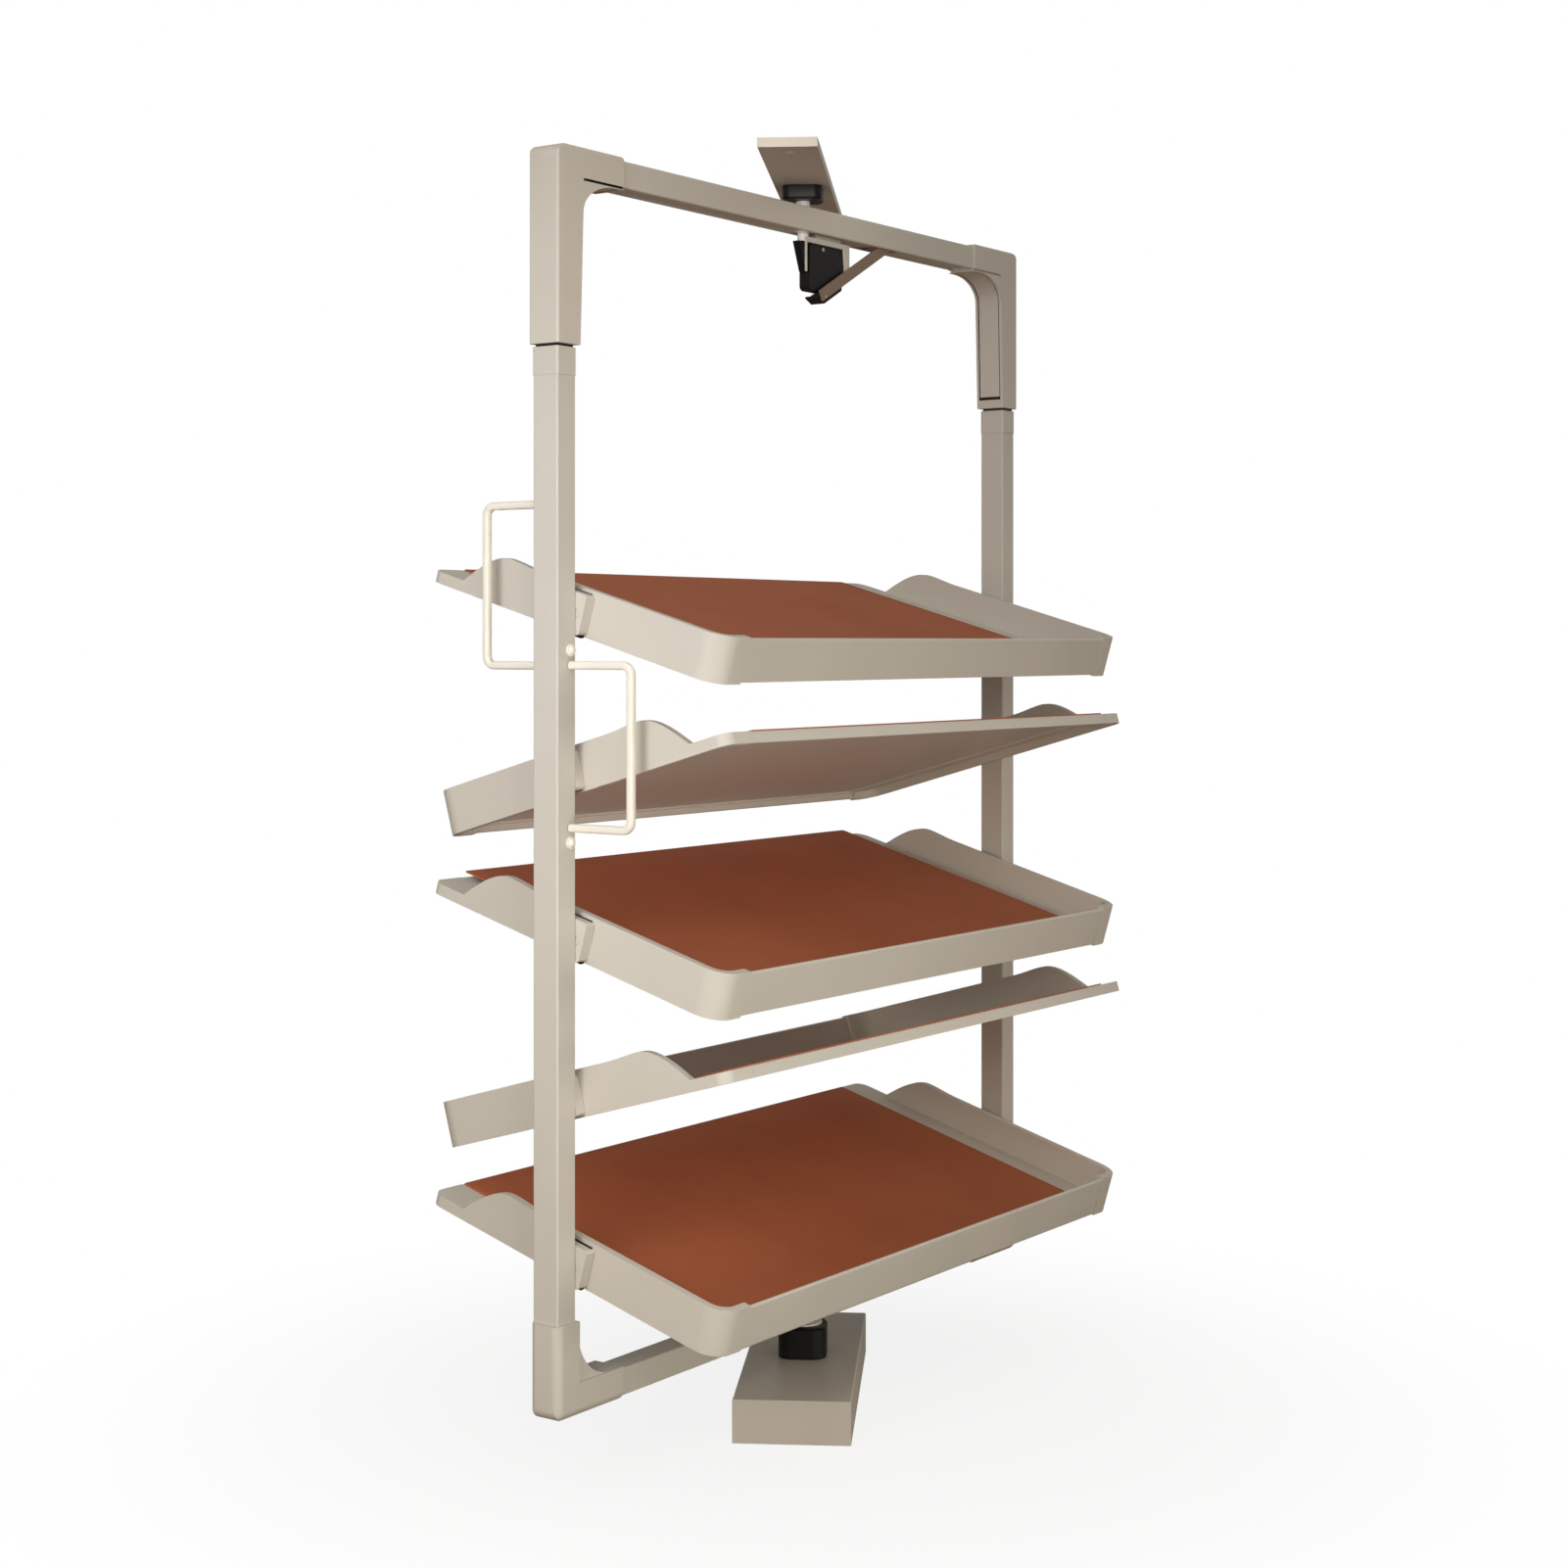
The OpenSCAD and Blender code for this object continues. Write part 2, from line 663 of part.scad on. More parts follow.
module bracket_pads() {
    color(black) for (k = [1:5], side = [-1, 1]) at_bracket(k, side) difference() {
        upright_plate(web_t + seat, bracket_t, pad_w, bracket_h + 2 * pad_out, 1.5);
        peg_holes();
    }
}

module bracket_screws() {
    color(steel) for (k = [1:5], side = [-1, 1], z = SCREW_Z)
        at_bracket(k, side) translate([-tube_wall - 3, 0, z]) rotate([0, 90, 0]) {
            cylinder(d = shank_d, h = tube_wall + 3 + web_t - head_t);
            translate([0, 0, tube_wall + 3 + web_t - head_t])
                cylinder(d = head_d, h = head_t - seat);
        }
}

// Small screws that hold the sheet floor to the moulded ends from below
module tray_screws() {
    color(steel) for (k = [1:5], side = [-1, 1], y = [-tray_front + screw_front, tray_rear - screw_rear])
        at_tray(k) to_side(side)
            translate([end_len + ledge / 2, y, slab_h - skin - sheet_t - 2]) {
                cylinder(d1 = 5, d2 = 7, h = 2);
            }
}

// Base

module at_beam() {
    rotate([0, 0, beam_turn]) children();
}

module screw_ring(h) {
    for (a = [45:90:315]) rotate([0, 0, a]) translate([inner_pcd / 2, 0, -1])
        cylinder(d = screw_hole_d, h = h);
    for (s = [-1, 1]) translate([s * outer_span / 2, 0, -1]) cylinder(d = screw_hole_d, h = h);
}

module floor_plate() {
    plate_w = beam_w - 2 * beam_wall - 2 * seat;
    color(steel) at_beam() difference() {
        union() {
            translate([-beam_l / 2 + beam_wall + seat, -plate_w / 2, 0])
                cube([beam_l - 2 * beam_wall - 2 * seat, plate_w, plate_t]);
            // socket that holds the lower spindle upright
            cylinder(d = spindle_d + 16, h = beam_h - beam_wall - seat);
        }
        translate([0, 0, plate_t]) cylinder(d = spindle_d + 0.1, h = beam_h);
        screw_ring(plate_t + 2);
    }
}

module base_beam() {
    inner_w = beam_w - 2 * beam_wall;
    color(paint) at_beam() difference() {
        translate([-beam_l / 2, 0, 0]) rotate([90, 0, 90]) linear_extrude(beam_l) {
            translate([-beam_w / 2, 0]) square([beam_w, beam_h - 2]);
            translate([-beam_w / 2 + 2, 0]) square([beam_w - 4, beam_h]);
            for (s = [-1, 1]) translate([s * (beam_w / 2 - 2), beam_h - 2]) circle(2);
        }
        translate([-beam_l / 2 + beam_wall, -inner_w / 2, -1])
            cube([beam_l - 2 * beam_wall, inner_w, beam_h - beam_wall + 1]);
        cylinder(d = spindle_d + 2, h = beam_h + 1);
    }
}

module lower_pivot_housing() {
    h = foot_gap - washer_t - 2 * seat;
    color(black) at_beam() difference() {
        union() {
            upright(housing_w, housing_w, housing_r, beam_h, beam_h + h - 2);
            upright(housing_w - 4, housing_w - 4, housing_r - 2, beam_h, beam_h + h);
        }
        translate([0, 0, beam_h - 1]) cylinder(d = spindle_d + 0.1, h = h + 2);
    }
}

module lower_spindle() {
    color(steel) translate([0, 0, plate_t + seat])
        cylinder(d = spindle_d, h = rack_z + bar_h - tube_wall - plate_t - 4);
}

module thrust_washer() {
    color(steel) translate([0, 0, rack_z - washer_t - seat]) difference() {
        cylinder(d = housing_w - 10, h = washer_t);
        translate([0, 0, -1]) cylinder(r = bush_r + 0.2, h = washer_t + 2);
    }
}

// A flanged bush pressed into the bottom bar, turning on the lower spindle
module lower_bush() {
    color(black) translate([0, 0, rack_z]) difference() {
        cylinder(r = bush_r + bush_wall, h = bar_h - tube_wall - 1);
        translate([0, 0, -1]) cylinder(r = bush_r, h = bar_h + 2);
    }
}

// Ceiling strip, its bearing block and the spindle that turns in it

module ceiling_strip() {
    color(paint) at_beam() translate([0, 0, strip_z]) difference() {
        translate([-strip_l / 2, -strip_w / 2, 0]) cube([strip_l, strip_w, strip_t]);
        for (s = [-1, 1]) translate([s * strip_span / 2, 0, 0]) {
            translate([0, 0, -1]) cylinder(d = screw_hole_d, h = strip_t + 2);
            translate([0, 0, -eps]) cylinder(d1 = 2 * screw_hole_d, d2 = screw_hole_d, h = 2.5);
        }
    }
}

module upper_bearing_block() {
    color(black) at_beam() translate([0, 0, strip_z - block_h]) difference() {
        union() {
            upright(block_w - 3, block_w - 3, 8, 0, block_h);
            upright(block_w, block_w, 9, 1.5, block_h);
        }
        translate([0, 0, -1]) cylinder(r = bush_r, h = block_h - 2);
    }
}

module upper_spindle() {
    z0 = groove_top + seat;
    color(steel) {
        translate([0, 0, z0]) cylinder(d = spindle_d, h = strip_z - 4 - z0);
        translate([0, 0, bar_foot - tail_drop]) cylinder(d = tail_d, h = tail_drop + groove_deep);
    }
}

module upper_bush() {
    color(steel) translate([0, 0, groove_top + seat]) difference() {
        cylinder(r = bush_r + bush_wall, h = bar_h - groove_deep);
        translate([0, 0, -1]) cylinder(r = bush_r, h = bar_h + 2);
    }
}

// Case under the top bar: a black body between the open sides of a bent sheet bracket,
// with a nose under the spindle. A stay runs down past its front side from the bar, with
// a black clip pinned to its lower end.

module side_on(depth) {
    translate([0, depth / 2, bar_foot]) rotate([90, 0, 0]) linear_extrude(depth) children();
}

// Height of the stay's middle line
function stay_mid(x) = -(stay_foot_x - x) * stay_rise;

// Along the stay, from the middle of its lower end
module at_stay() {
    translate([stay_end_x, -stay_drop]) rotate(atan(stay_rise)) children();
}

module cross_pin(d, l) {
    rotate([90, 0, 0]) cylinder(d = d, h = l, center = true);
}

module at_clip_pin() {
    a = atan(stay_rise);
    translate([stay_end_x + 7 * cos(a) + 4 * sin(a), 0,
        bar_foot - stay_drop + 7 * sin(a) - 4 * cos(a)]) children();
}

module at_case_bolt() {
    translate([X_BOLT[0], 0, bar_foot + X_BOLT[1]]) children();
}

module pivot_case() {
    x1 = case_x1 - far_w / 2;
    tail = tail_d / 2 + 1;
    color(black) difference() {
        union() {
            side_on(case_d) polygon([[tail, case_top], [x1 - 3, case_top], [x1, case_top - 25],
                [x1, stay_mid(x1)], [stay_foot_x - case_h / stay_rise, -case_h],
                [case_x0 + 5, -case_h], [case_x0 + 1, -case_h + 2], [case_x0, -case_h + 5],
                [case_x0, -tail_drop - 5], [tail, -tail_drop - 3]]);
            side_on(case_d - 5) polygon([[-nose_back, -tail_drop - 2 * seat],
                [tail + 1, -tail_drop - 2 * seat], [tail + 1, nose_low], [0, nose_low],
                [-2, nose_low + 2]]);
        }
        at_case_bolt() cross_pin(shank_d + 0.4, 2 * case_d);
    }
}

module case_bracket() {
    x0 = -near_w - 2;
    roof = tail_d / 2 + 1.5; // the roof starts clear of the spindle's tail
    color(paint) {
        // two sides, each open in the middle; only the front one has a near strip
        for (s = [-1, 1]) translate([0, s * (case_d / 2 + seat + cheek_t / 2), 0])
            side_on(cheek_t) polygon(concat(
                [[case_x1, -hang_gap], [case_x1, stay_mid(case_x1)],
                 [case_x1 - far_w, stay_mid(case_x1 - far_w)],
                 [case_x1 - far_w - 3, -hang_gap - 6]],
                s > 0 ? [[roof, -hang_gap - 6], [roof, -hang_gap]]
                    : [[x0 + near_w, -hang_gap - 6], [x0 + near_w, nose_low], [x0, nose_low],
                       [x0, -hang_gap]]));
        translate([roof, -cheek_y, bar_foot - hang_gap - cheek_t])
            cube([case_x1 - roof, 2 * cheek_y, cheek_t]);
        // hanger, from the roof up into the bar's groove
        translate([roof + 12, -5, bar_foot - hang_gap - eps])
            cube([case_x1 - roof - 24, 10, hang_gap + groove_deep - seat + eps]);
    }
}

module case_stay() {
    strip = stay_y1 - stay_y0;
    color(paint) difference() {
        union() {
            translate([0, -stay_y0 - strip / 2, 0]) side_on(strip) intersection() {
                at_stay() translate([0, -stay_w / 2]) square([2 * stay_foot_x, stay_w]);
                translate([0, -2 * case_h])
                    square([2 * stay_foot_x, 2 * case_h + groove_deep - seat]);
            }
            // foot plate in the bar's groove
            translate([stay_foot_x - stay_w, -stay_y1, groove_top - cheek_t])
                cube([3 * stay_w, 2 * stay_y1, cheek_t]);
        }
        at_clip_pin() cross_pin(shank_d + 0.4, post_d);
    }
}

module stay_clip() {
    low = -stay_w / 2 - 5;
    color(black) difference() {
        side_on(2 * stay_y0 - 2 * seat) at_stay() polygon([[-2, 1], [-3, -1], [5, low],
            [clip_l - 5, low], [clip_l, low + 6], [clip_l, -2], [2, -2]]);
        at_clip_pin() cross_pin(shank_d + 0.4, post_d);
    }
}

// The bolt through the case, and the pin through the stay and its clip
module case_bolts() {
    color(steel) {
        at_case_bolt() {
            cross_pin(shank_d, case_d + 2 * seat);
            for (s = [-1, 1]) translate([0, s * (case_d / 2 + seat + 0.5), 0]) cross_pin(4.6, 1);
        }
        at_clip_pin() translate([0, (stay_y0 - stay_y1) / 2, 0])
            cross_pin(shank_d, stay_y0 + stay_y1 + 1);
    }
}

module frame_node(n) {
    if (n == "floor_plate") floor_plate();
    if (n == "base_beam") base_beam();
    if (n == "lower_pivot_housing") lower_pivot_housing();
    if (n == "lower_spindle") lower_spindle();
    if (n == "thrust_washer") thrust_washer();
    if (n == "ceiling_strip") ceiling_strip();
    if (n == "upper_bearing_block") upper_bearing_block();
    if (n == "upper_spindle") upper_spindle();
    if (n == "left_post") post(-1);
    if (n == "right_post") post(1);
    if (n == "top_bar") top_bar();
    if (n == "bottom_bar") bottom_bar();
    if (n == "top_left_corner") at_top_corner(-1) top_corner();
    if (n == "top_right_corner") at_top_corner(1) top_corner();
    if (n == "bottom_left_corner") at_low_corner(-1) low_corner();
    if (n == "bottom_right_corner") at_low_corner(1) low_corner();
    if (n == "left_corner_cover") at_top_corner(-1) corner_cover();
    if (n == "right_corner_cover") at_top_corner(1) corner_cover();
    if (n == "left_collar") collar(-1);
    if (n == "right_collar") collar(1);
    if (n == "rear_handle") handle(1, rear_handle_z);
    if (n == "front_handle") handle(-1, front_handle_z);
    if (n == "handle_screws") handle_screws();
    if (n == "pivot_case") pivot_case();
    if (n == "case_bracket") case_bracket();
    if (n == "case_stay") case_stay();
    if (n == "stay_clip") stay_clip();
    if (n == "case_bolts") case_bolts();
    if (n == "lower_bush") lower_bush();
    if (n == "upper_bush") upper_bush();
    if (n == "left_tray_brackets") tray_brackets(-1);
    if (n == "right_tray_brackets") tray_brackets(1);
    if (n == "bracket_pads") bracket_pads();
    if (n == "bracket_screws") bracket_screws();
    if (n == "tray_screws") tray_screws();
}

for (n = NODES) frame_node(n);
for (k = [1:5]) {
    at_tray(k) moulded_end(-1);
    at_tray(k) moulded_end(1);
    at_tray(k) front_lip();
    at_tray(k) tray_floor();
    at_tray(k) mat();
}
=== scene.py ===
import json
import math

import bpy
from mathutils import Matrix, Vector

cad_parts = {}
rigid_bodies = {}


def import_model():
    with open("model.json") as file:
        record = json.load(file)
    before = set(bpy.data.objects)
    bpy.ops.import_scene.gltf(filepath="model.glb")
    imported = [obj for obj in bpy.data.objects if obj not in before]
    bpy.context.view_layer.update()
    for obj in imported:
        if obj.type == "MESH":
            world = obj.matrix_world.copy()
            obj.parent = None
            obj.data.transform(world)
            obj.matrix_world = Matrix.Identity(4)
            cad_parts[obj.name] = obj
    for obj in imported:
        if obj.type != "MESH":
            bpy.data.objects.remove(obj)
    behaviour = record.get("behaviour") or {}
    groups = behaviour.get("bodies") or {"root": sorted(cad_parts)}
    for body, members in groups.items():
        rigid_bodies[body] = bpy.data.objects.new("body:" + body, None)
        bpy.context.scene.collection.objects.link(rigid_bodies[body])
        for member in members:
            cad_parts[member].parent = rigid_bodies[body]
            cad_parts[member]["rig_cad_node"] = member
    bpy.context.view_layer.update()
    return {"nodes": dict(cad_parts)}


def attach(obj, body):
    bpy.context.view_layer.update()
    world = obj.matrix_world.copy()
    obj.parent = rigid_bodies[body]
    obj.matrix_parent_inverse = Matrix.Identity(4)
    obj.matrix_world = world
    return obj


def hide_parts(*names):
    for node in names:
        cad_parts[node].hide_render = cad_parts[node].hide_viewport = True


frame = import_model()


# ---- Camera ----
# Level, at the eye height of the photograph, 55 degrees round to the left of the rack's
# front. The picture is shifted rather than the camera tilted, so the posts stay upright.

LENS, FILM = 58.34, 36  # mm
EYE = (-2.3636, -1.6490, 0.8548)
HEADING = -54.67  # degrees
SHIFT = -0.0911  # of the picture, as a share of its width
FAR = 100

camera_data = bpy.data.cameras.new("camera")
camera_data.sensor_width = FILM
camera_data.lens = LENS
camera_data.shift_y = SHIFT
camera_data.clip_end = FAR
camera = bpy.data.objects.new("camera", camera_data)
camera.location = EYE
camera.rotation_euler = (math.radians(90), 0, math.radians(HEADING))
bpy.context.scene.collection.objects.link(camera)
bpy.context.scene.camera = camera


# ---- Floor, backdrop and light ----
# A white floor that runs into a white surrounding and keeps a soft shadow. Window light
# comes from the left, close by, lamps in the room fill the front faces, a narrow one lights
# the ceiling strip, and the surrounding is dimmer behind the rack.

BRIGHT_SIDE = (-0.60, -0.76, 0.25)  # direction in which the surrounding is brightest
FACING = (-0.7, 0.8)  # how far towards it the light begins to rise, and is full
FILL = (0.16, 0.60)  # strength of the surrounding's light there
MIRRORED = 0.42  # strength of what glossy surfaces mirror
PAPER_FROM, PAPER_TO = 0.25, 0.95  # from the axis; the floor's shadow fades out between them
PAPER = (0.85, 1.0)  # share of the floor that glows white there
FLOOR_SIDE = 60
# Each lamp's name, place, point aimed at, watts, cone in degrees, size and tint.
LAMPS = (
    ("window_low", (-1.75, -0.30, 0.75), (-0.45, 0, 0.55), 31, 84, 0.35, "#fff4e6"),
    ("window_near", (-1.30, -0.25, 1.15), (-0.45, 0, 0.85), 14, 110, 0.30, "#d8e8ff"),
    ("window_top", (-1.15, -0.75, 1.50), (-0.45, 0, 1.27), 16, 44, 0.25, "#fff0dc"),
    ("room_left", (-0.95, -1.60, 0.10), (-0.38, -0.15, 0.45), 40, 50, 0.30, "#fafff8"),
    ("room_right", (0.60, -2.80, 0.15), (0, -0.15, 0.35), 84, 38, 0.50, "#fff2e4"),
    ("room_high", (-1.45, -1.50, 1.10), (-0.32, -0.15, 0.40), 12, 52, 0.15, "#fff8ee"),
    ("strip_lamp", (-1.9, -1.1, 1.42), (-0.206, -0.124, 1.376), 47, 6, 0.05, "#fff1e6"),
)

bpy.context.scene.view_settings.view_transform = "Standard"


def linear(hex_text):
    """An sRGB colour such as "#d8d0c4" as linear red, green, blue and alpha."""
    parts = [int(hex_text[i:i + 2], 16) / 255 for i in (1, 3, 5)]
    return [c / 12.92 if c <= 0.04045 else ((c + 0.055) / 1.055) ** 2.4 for c in parts] + [1]


def add_node(tree, kind, inputs=None, **settings):
    """A shader node with its settings, and each input as a value or another node's output."""
    made = tree.nodes.new(kind)
    for name, value in settings.items():
        setattr(made, name, value)
    for name, value in (inputs or {}).items():
        if isinstance(value, bpy.types.NodeSocket):
            tree.links.new(value, made.inputs[name])
        else:
            made.inputs[name].default_value = value
    return made


world = bpy.data.worlds.new("studio")
bpy.context.scene.world = world
world.use_nodes = True
sky = world.node_tree
sky.nodes.clear()
ray = add_node(sky, "ShaderNodeLightPath")
seen = add_node(sky, "ShaderNodeMath",
                {0: ray.outputs["Is Camera Ray"], 1: ray.outputs["Is Transmission Ray"]},
                operation="MAXIMUM")
toward = add_node(sky, "ShaderNodeTexCoord").outputs["Generated"]
facing = add_node(sky, "ShaderNodeVectorMath", {0: toward, 1: BRIGHT_SIDE},
                  operation="DOT_PRODUCT")
level = add_node(sky, "ShaderNodeMapRange",
                 {"Value": facing.outputs["Value"], "From Min": FACING[0],
                  "From Max": FACING[1], "To Min": FILL[0], "To Max": FILL[1]})
fill = add_node(sky, "ShaderNodeBackground",
                {"Color": linear("#fffaee"), "Strength": level.outputs[0]})
mirrored = add_node(sky, "ShaderNodeBackground",
                    {"Color": linear("#f6f3ee"), "Strength": MIRRORED})
white = add_node(sky, "ShaderNodeBackground", {"Color": (1, 1, 1, 1), "Strength": 1.0})
soft = add_node(sky, "ShaderNodeMixShader",
                {0: ray.outputs["Is Glossy Ray"], 1: fill.outputs[0], 2: mirrored.outputs[0]})
both = add_node(sky, "ShaderNodeMixShader",
                {0: seen.outputs[0], 1: soft.outputs[0], 2: white.outputs[0]})
add_node(sky, "ShaderNodeOutputWorld", {"Surface": both.outputs[0]})

bpy.ops.mesh.primitive_plane_add(size=FLOOR_SIDE, location=(0, 0, 0))
floor = bpy.context.object
floor.name = "studio_floor"
# White paper to the eye; a duller one for the light that it throws back at the rack.
floor_paint = bpy.data.materials.new("white_floor")
floor_paint.use_nodes = True
tree = floor_paint.node_tree
tree.nodes.clear()
ray = add_node(tree, "ShaderNodeLightPath")
spot = add_node(tree, "ShaderNodeTexCoord").outputs["Object"]
reach = add_node(tree, "ShaderNodeVectorMath", {0: spot}, operation="LENGTH").outputs["Value"]
whiter = add_node(tree, "ShaderNodeMapRange",
                  {"Value": reach, "From Min": PAPER_FROM, "From Max": PAPER_TO,
                   "To Min": PAPER[0], "To Max": PAPER[1]},
                  interpolation_type="SMOOTHSTEP")
dull = add_node(tree, "ShaderNodeBsdfDiffuse", {"Color": linear("#9c9284")})
pale = add_node(tree, "ShaderNodeBsdfDiffuse", {"Color": (0.9, 0.9, 0.9, 1)})
glow = add_node(tree, "ShaderNodeEmission", {"Color": (1, 1, 1, 1), "Strength": 1.0})
paper = add_node(tree, "ShaderNodeMixShader",
                 {0: whiter.outputs[0], 1: pale.outputs[0], 2: glow.outputs[0]})
shown = add_node(tree, "ShaderNodeMixShader",
                 {0: ray.outputs["Is Camera Ray"], 1: dull.outputs[0], 2: paper.outputs[0]})
add_node(tree, "ShaderNodeOutputMaterial", {"Surface": shown.outputs[0]})
floor.data.materials.append(floor_paint)

for name, place, aim, watts, cone, size, tint in LAMPS:
    lamp_data = bpy.data.lights.new(name, "SPOT")
    lamp_data.energy = watts
    lamp_data.color = linear(tint)[:3]
    lamp_data.spot_size = math.radians(cone)
    lamp_data.spot_blend = 1
    lamp_data.shadow_soft_size = size
    lamp = bpy.data.objects.new(name, lamp_data)
    lamp.location = place
    lamp.rotation_euler = (Vector(place) - Vector(aim)).to_track_quat("Z", "Y").to_euler()
    lamp.visible_camera = False
    bpy.context.scene.collection.objects.link(lamp)


# ---- Frame tubes: posts, bars and the collars on the posts ----
# Extruded aluminium tube, sprayed with satin champagne powder coat. The collars are thin
# sleeves of the same finish that slide up against the corner connectors.

TUBES = ("left_post", "right_post", "top_bar", "bottom_bar", "left_collar", "right_collar")
TUBE_EDGE = 0.5  # mm
TOP_JOINT = 0.0018  # how far posts and collars stop short of the top connectors
END_DEPTH = 1e-3  # what lies within this of a tube's upper end goes down with it
MERGE = 1e-6  # points this close are one
COPLANAR, SHARP, SMOOTH = 0.5, 40, 38  # degrees between faces
FIRST, SECOND = 6, 7  # the colour inputs of a Mix node
DRIFT = 9  # the two tones lie in patches of about 110 mm


def finish_of(name, light, deep, rough, grain_mm, depth_mm):
    """A sprayed or moulded skin: two near tones that drift over it, and a fine grain."""
    made = bpy.data.materials.new(name)
    made.use_nodes = True
    tree = made.node_tree
    shader = tree.nodes["Principled BSDF"]
    place = add_node(tree, "ShaderNodeTexCoord").outputs["Object"]
    clouds = add_node(tree, "ShaderNodeTexNoise", {"Vector": place, "Scale": DRIFT, "Detail": 3})
    tone = add_node(tree, "ShaderNodeMix",
                    {"Factor": clouds.outputs[0], FIRST: linear(light), SECOND: linear(deep)},
                    data_type="RGBA")
    grain = add_node(tree, "ShaderNodeTexNoise",
                     {"Vector": place, "Scale": 1000 / grain_mm, "Detail": 2, "Roughness": 0.6})
    bump = add_node(tree, "ShaderNodeBump",
                    {"Height": grain.outputs[0], "Strength": 0.35, "Distance": depth_mm / 1000})
    sheen = add_node(tree, "ShaderNodeMapRange",
                     {"Value": grain.outputs[0], "To Min": rough - 0.05, "To Max": rough + 0.07})
    tree.links.new(tone.outputs[2], shader.inputs["Base Color"])
    tree.links.new(sheen.outputs[0], shader.inputs["Roughness"])
    tree.links.new(bump.outputs[0], shader.inputs["Normal"])
    return made, shader


def softened(node, edge_mm, segments=2, reshape=None):
    """A copy of a solid, its coplanar facets merged, reshaped where asked, its edges rounded."""
    bpy.ops.object.select_all(action="DESELECT")
    solid = frame["nodes"][node]
    solid.select_set(True)
    bpy.context.view_layer.objects.active = solid
    bpy.ops.object.duplicate()
    made = bpy.context.object
    del made["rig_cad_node"]
    made.parent = None
    made.name = node + "_finished"
    bpy.ops.object.mode_set(mode="EDIT")
    bpy.ops.mesh.select_all(action="SELECT")
    bpy.ops.mesh.remove_doubles(threshold=MERGE)
    bpy.ops.mesh.dissolve_limited(angle_limit=math.radians(COPLANAR))
    bpy.ops.object.mode_set(mode="OBJECT")
    if reshape:
        reshape(made)
    edge = made.modifiers.new("edge", "BEVEL")
    edge.width = edge_mm / 1000
    edge.segments = segments
    edge.limit_method = "ANGLE"
    edge.angle_limit = math.radians(SHARP)
    bpy.ops.object.modifier_apply(modifier="edge")
    bpy.ops.object.shade_smooth_by_angle(angle=math.radians(SMOOTH))
    flat = made.modifiers.new("flat", "WEIGHTED_NORMAL")
    flat.keep_sharp = True
    bpy.ops.object.modifier_apply(modifier="flat")
    return made


def adjusted(piece, chosen, centre=(0, 0, 0), scale=(1, 1, 1), move=(0, 0, 0)):
    """Scales the chosen points of a piece about a centre and moves them."""
    bpy.ops.object.mode_set(mode="EDIT")
    bpy.ops.mesh.select_all(action="DESELECT")
    bpy.ops.object.mode_set(mode="OBJECT")
    for v in piece.data.vertices:
        v.select = chosen(v.co)
    bpy.ops.object.mode_set(mode="EDIT")
    bpy.ops.transform.resize(value=scale, center_override=centre)
    bpy.ops.transform.translate(value=move)
    bpy.ops.object.mode_set(mode="OBJECT")


def fit_out(piece, finish, body, slot, *nodes):
    """The piece's material and its body, and the solids that it stands for, hidden. The slot is
    not used.
    """
    piece.data.materials.clear()
    piece.data.materials.append(finish)
    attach(piece, body)
    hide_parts(*nodes)


def lowered_end(piece):
    """The upper end of a post or collar, lowered to leave a dark joint under the connector."""
    top = max(v.co.z for v in piece.data.vertices)
    adjusted(piece, lambda p: p.z > top - END_DEPTH, move=(0, 0, -TOP_JOINT))


# Satin champagne powder coat: a faint orange peel of about 2 mm.
powder_coat, shader = finish_of("powder_coat", "#d8d1c8", "#cec8be",
                                rough=0.42, grain_mm=1.9, depth_mm=0.05)
shader.inputs["IOR"].default_value = 1.46
for name in TUBES:
    ends = lowered_end if name.endswith(("post", "collar")) else None
    fit_out(softened(name, TUBE_EDGE, reshape=ends), powder_coat, "turning_rack", "frame_paint",
            name)


# ---- Corner connectors and their cover strips ----
# Moulded plastic in the frame's colour, with a fine spark texture. Their tongues push into
# the tubes, and a strip is let into the inner side of each top connector.

CORNER_EDGE, CORNER_STEPS = 0.55, 3  # rounding in mm, and its facets
OUTER = 0.4495  # outer faces, from the axis
LEG = 0.034  # thickness of the level legs and of the bottom connectors' upright legs
TOP_LEG = 0.044  # upright leg of a top connector, at the web
WEB = (0.042, 0.024)  # length and height of the solids' webs
TOP_WEB, LOW_WEB = (0.052, 0.031), (0.048, 0.054)
SLIMMER = 0.0045  # less flare on the top connectors' legs
POCKET = (0.0038, 0.0036)  # how deep the strip's pocket goes into the two legs
POCKET_HALF = 0.0155  # half its width, and a little
LOW_HALF = 0.01605  # the same for the web of a bottom connector
HAIR, SLACK = 1e-4, 2e-4  # so that points on a limit count as inside
SLIT_START, SLIT_LINE = 0.0398, 0.032  # from the outer side, and below the top
SLIT_HALF, SLIT_FLOOR, SLIT_SPREAD = 0.0011, 0.0158, 1.3  # half height, floor from y = 0, widening
LOW_BLOCK = (0.22, 0.03804, 0.16)  # a block round a bottom connector, that rounds it off
LOW_ROUND, LOW_STEPS, LOW_PROUD = 0.0095, 8, 2e-5
TOP_END = max(v.co.z for v in frame["nodes"]["top_left_corner"].data.vertices)


def from_corner(p, side, end):
    """Distances of a point inward from a connector's outer side and from its outer end."""
    return OUTER - side * p.x, abs(p.z - end)


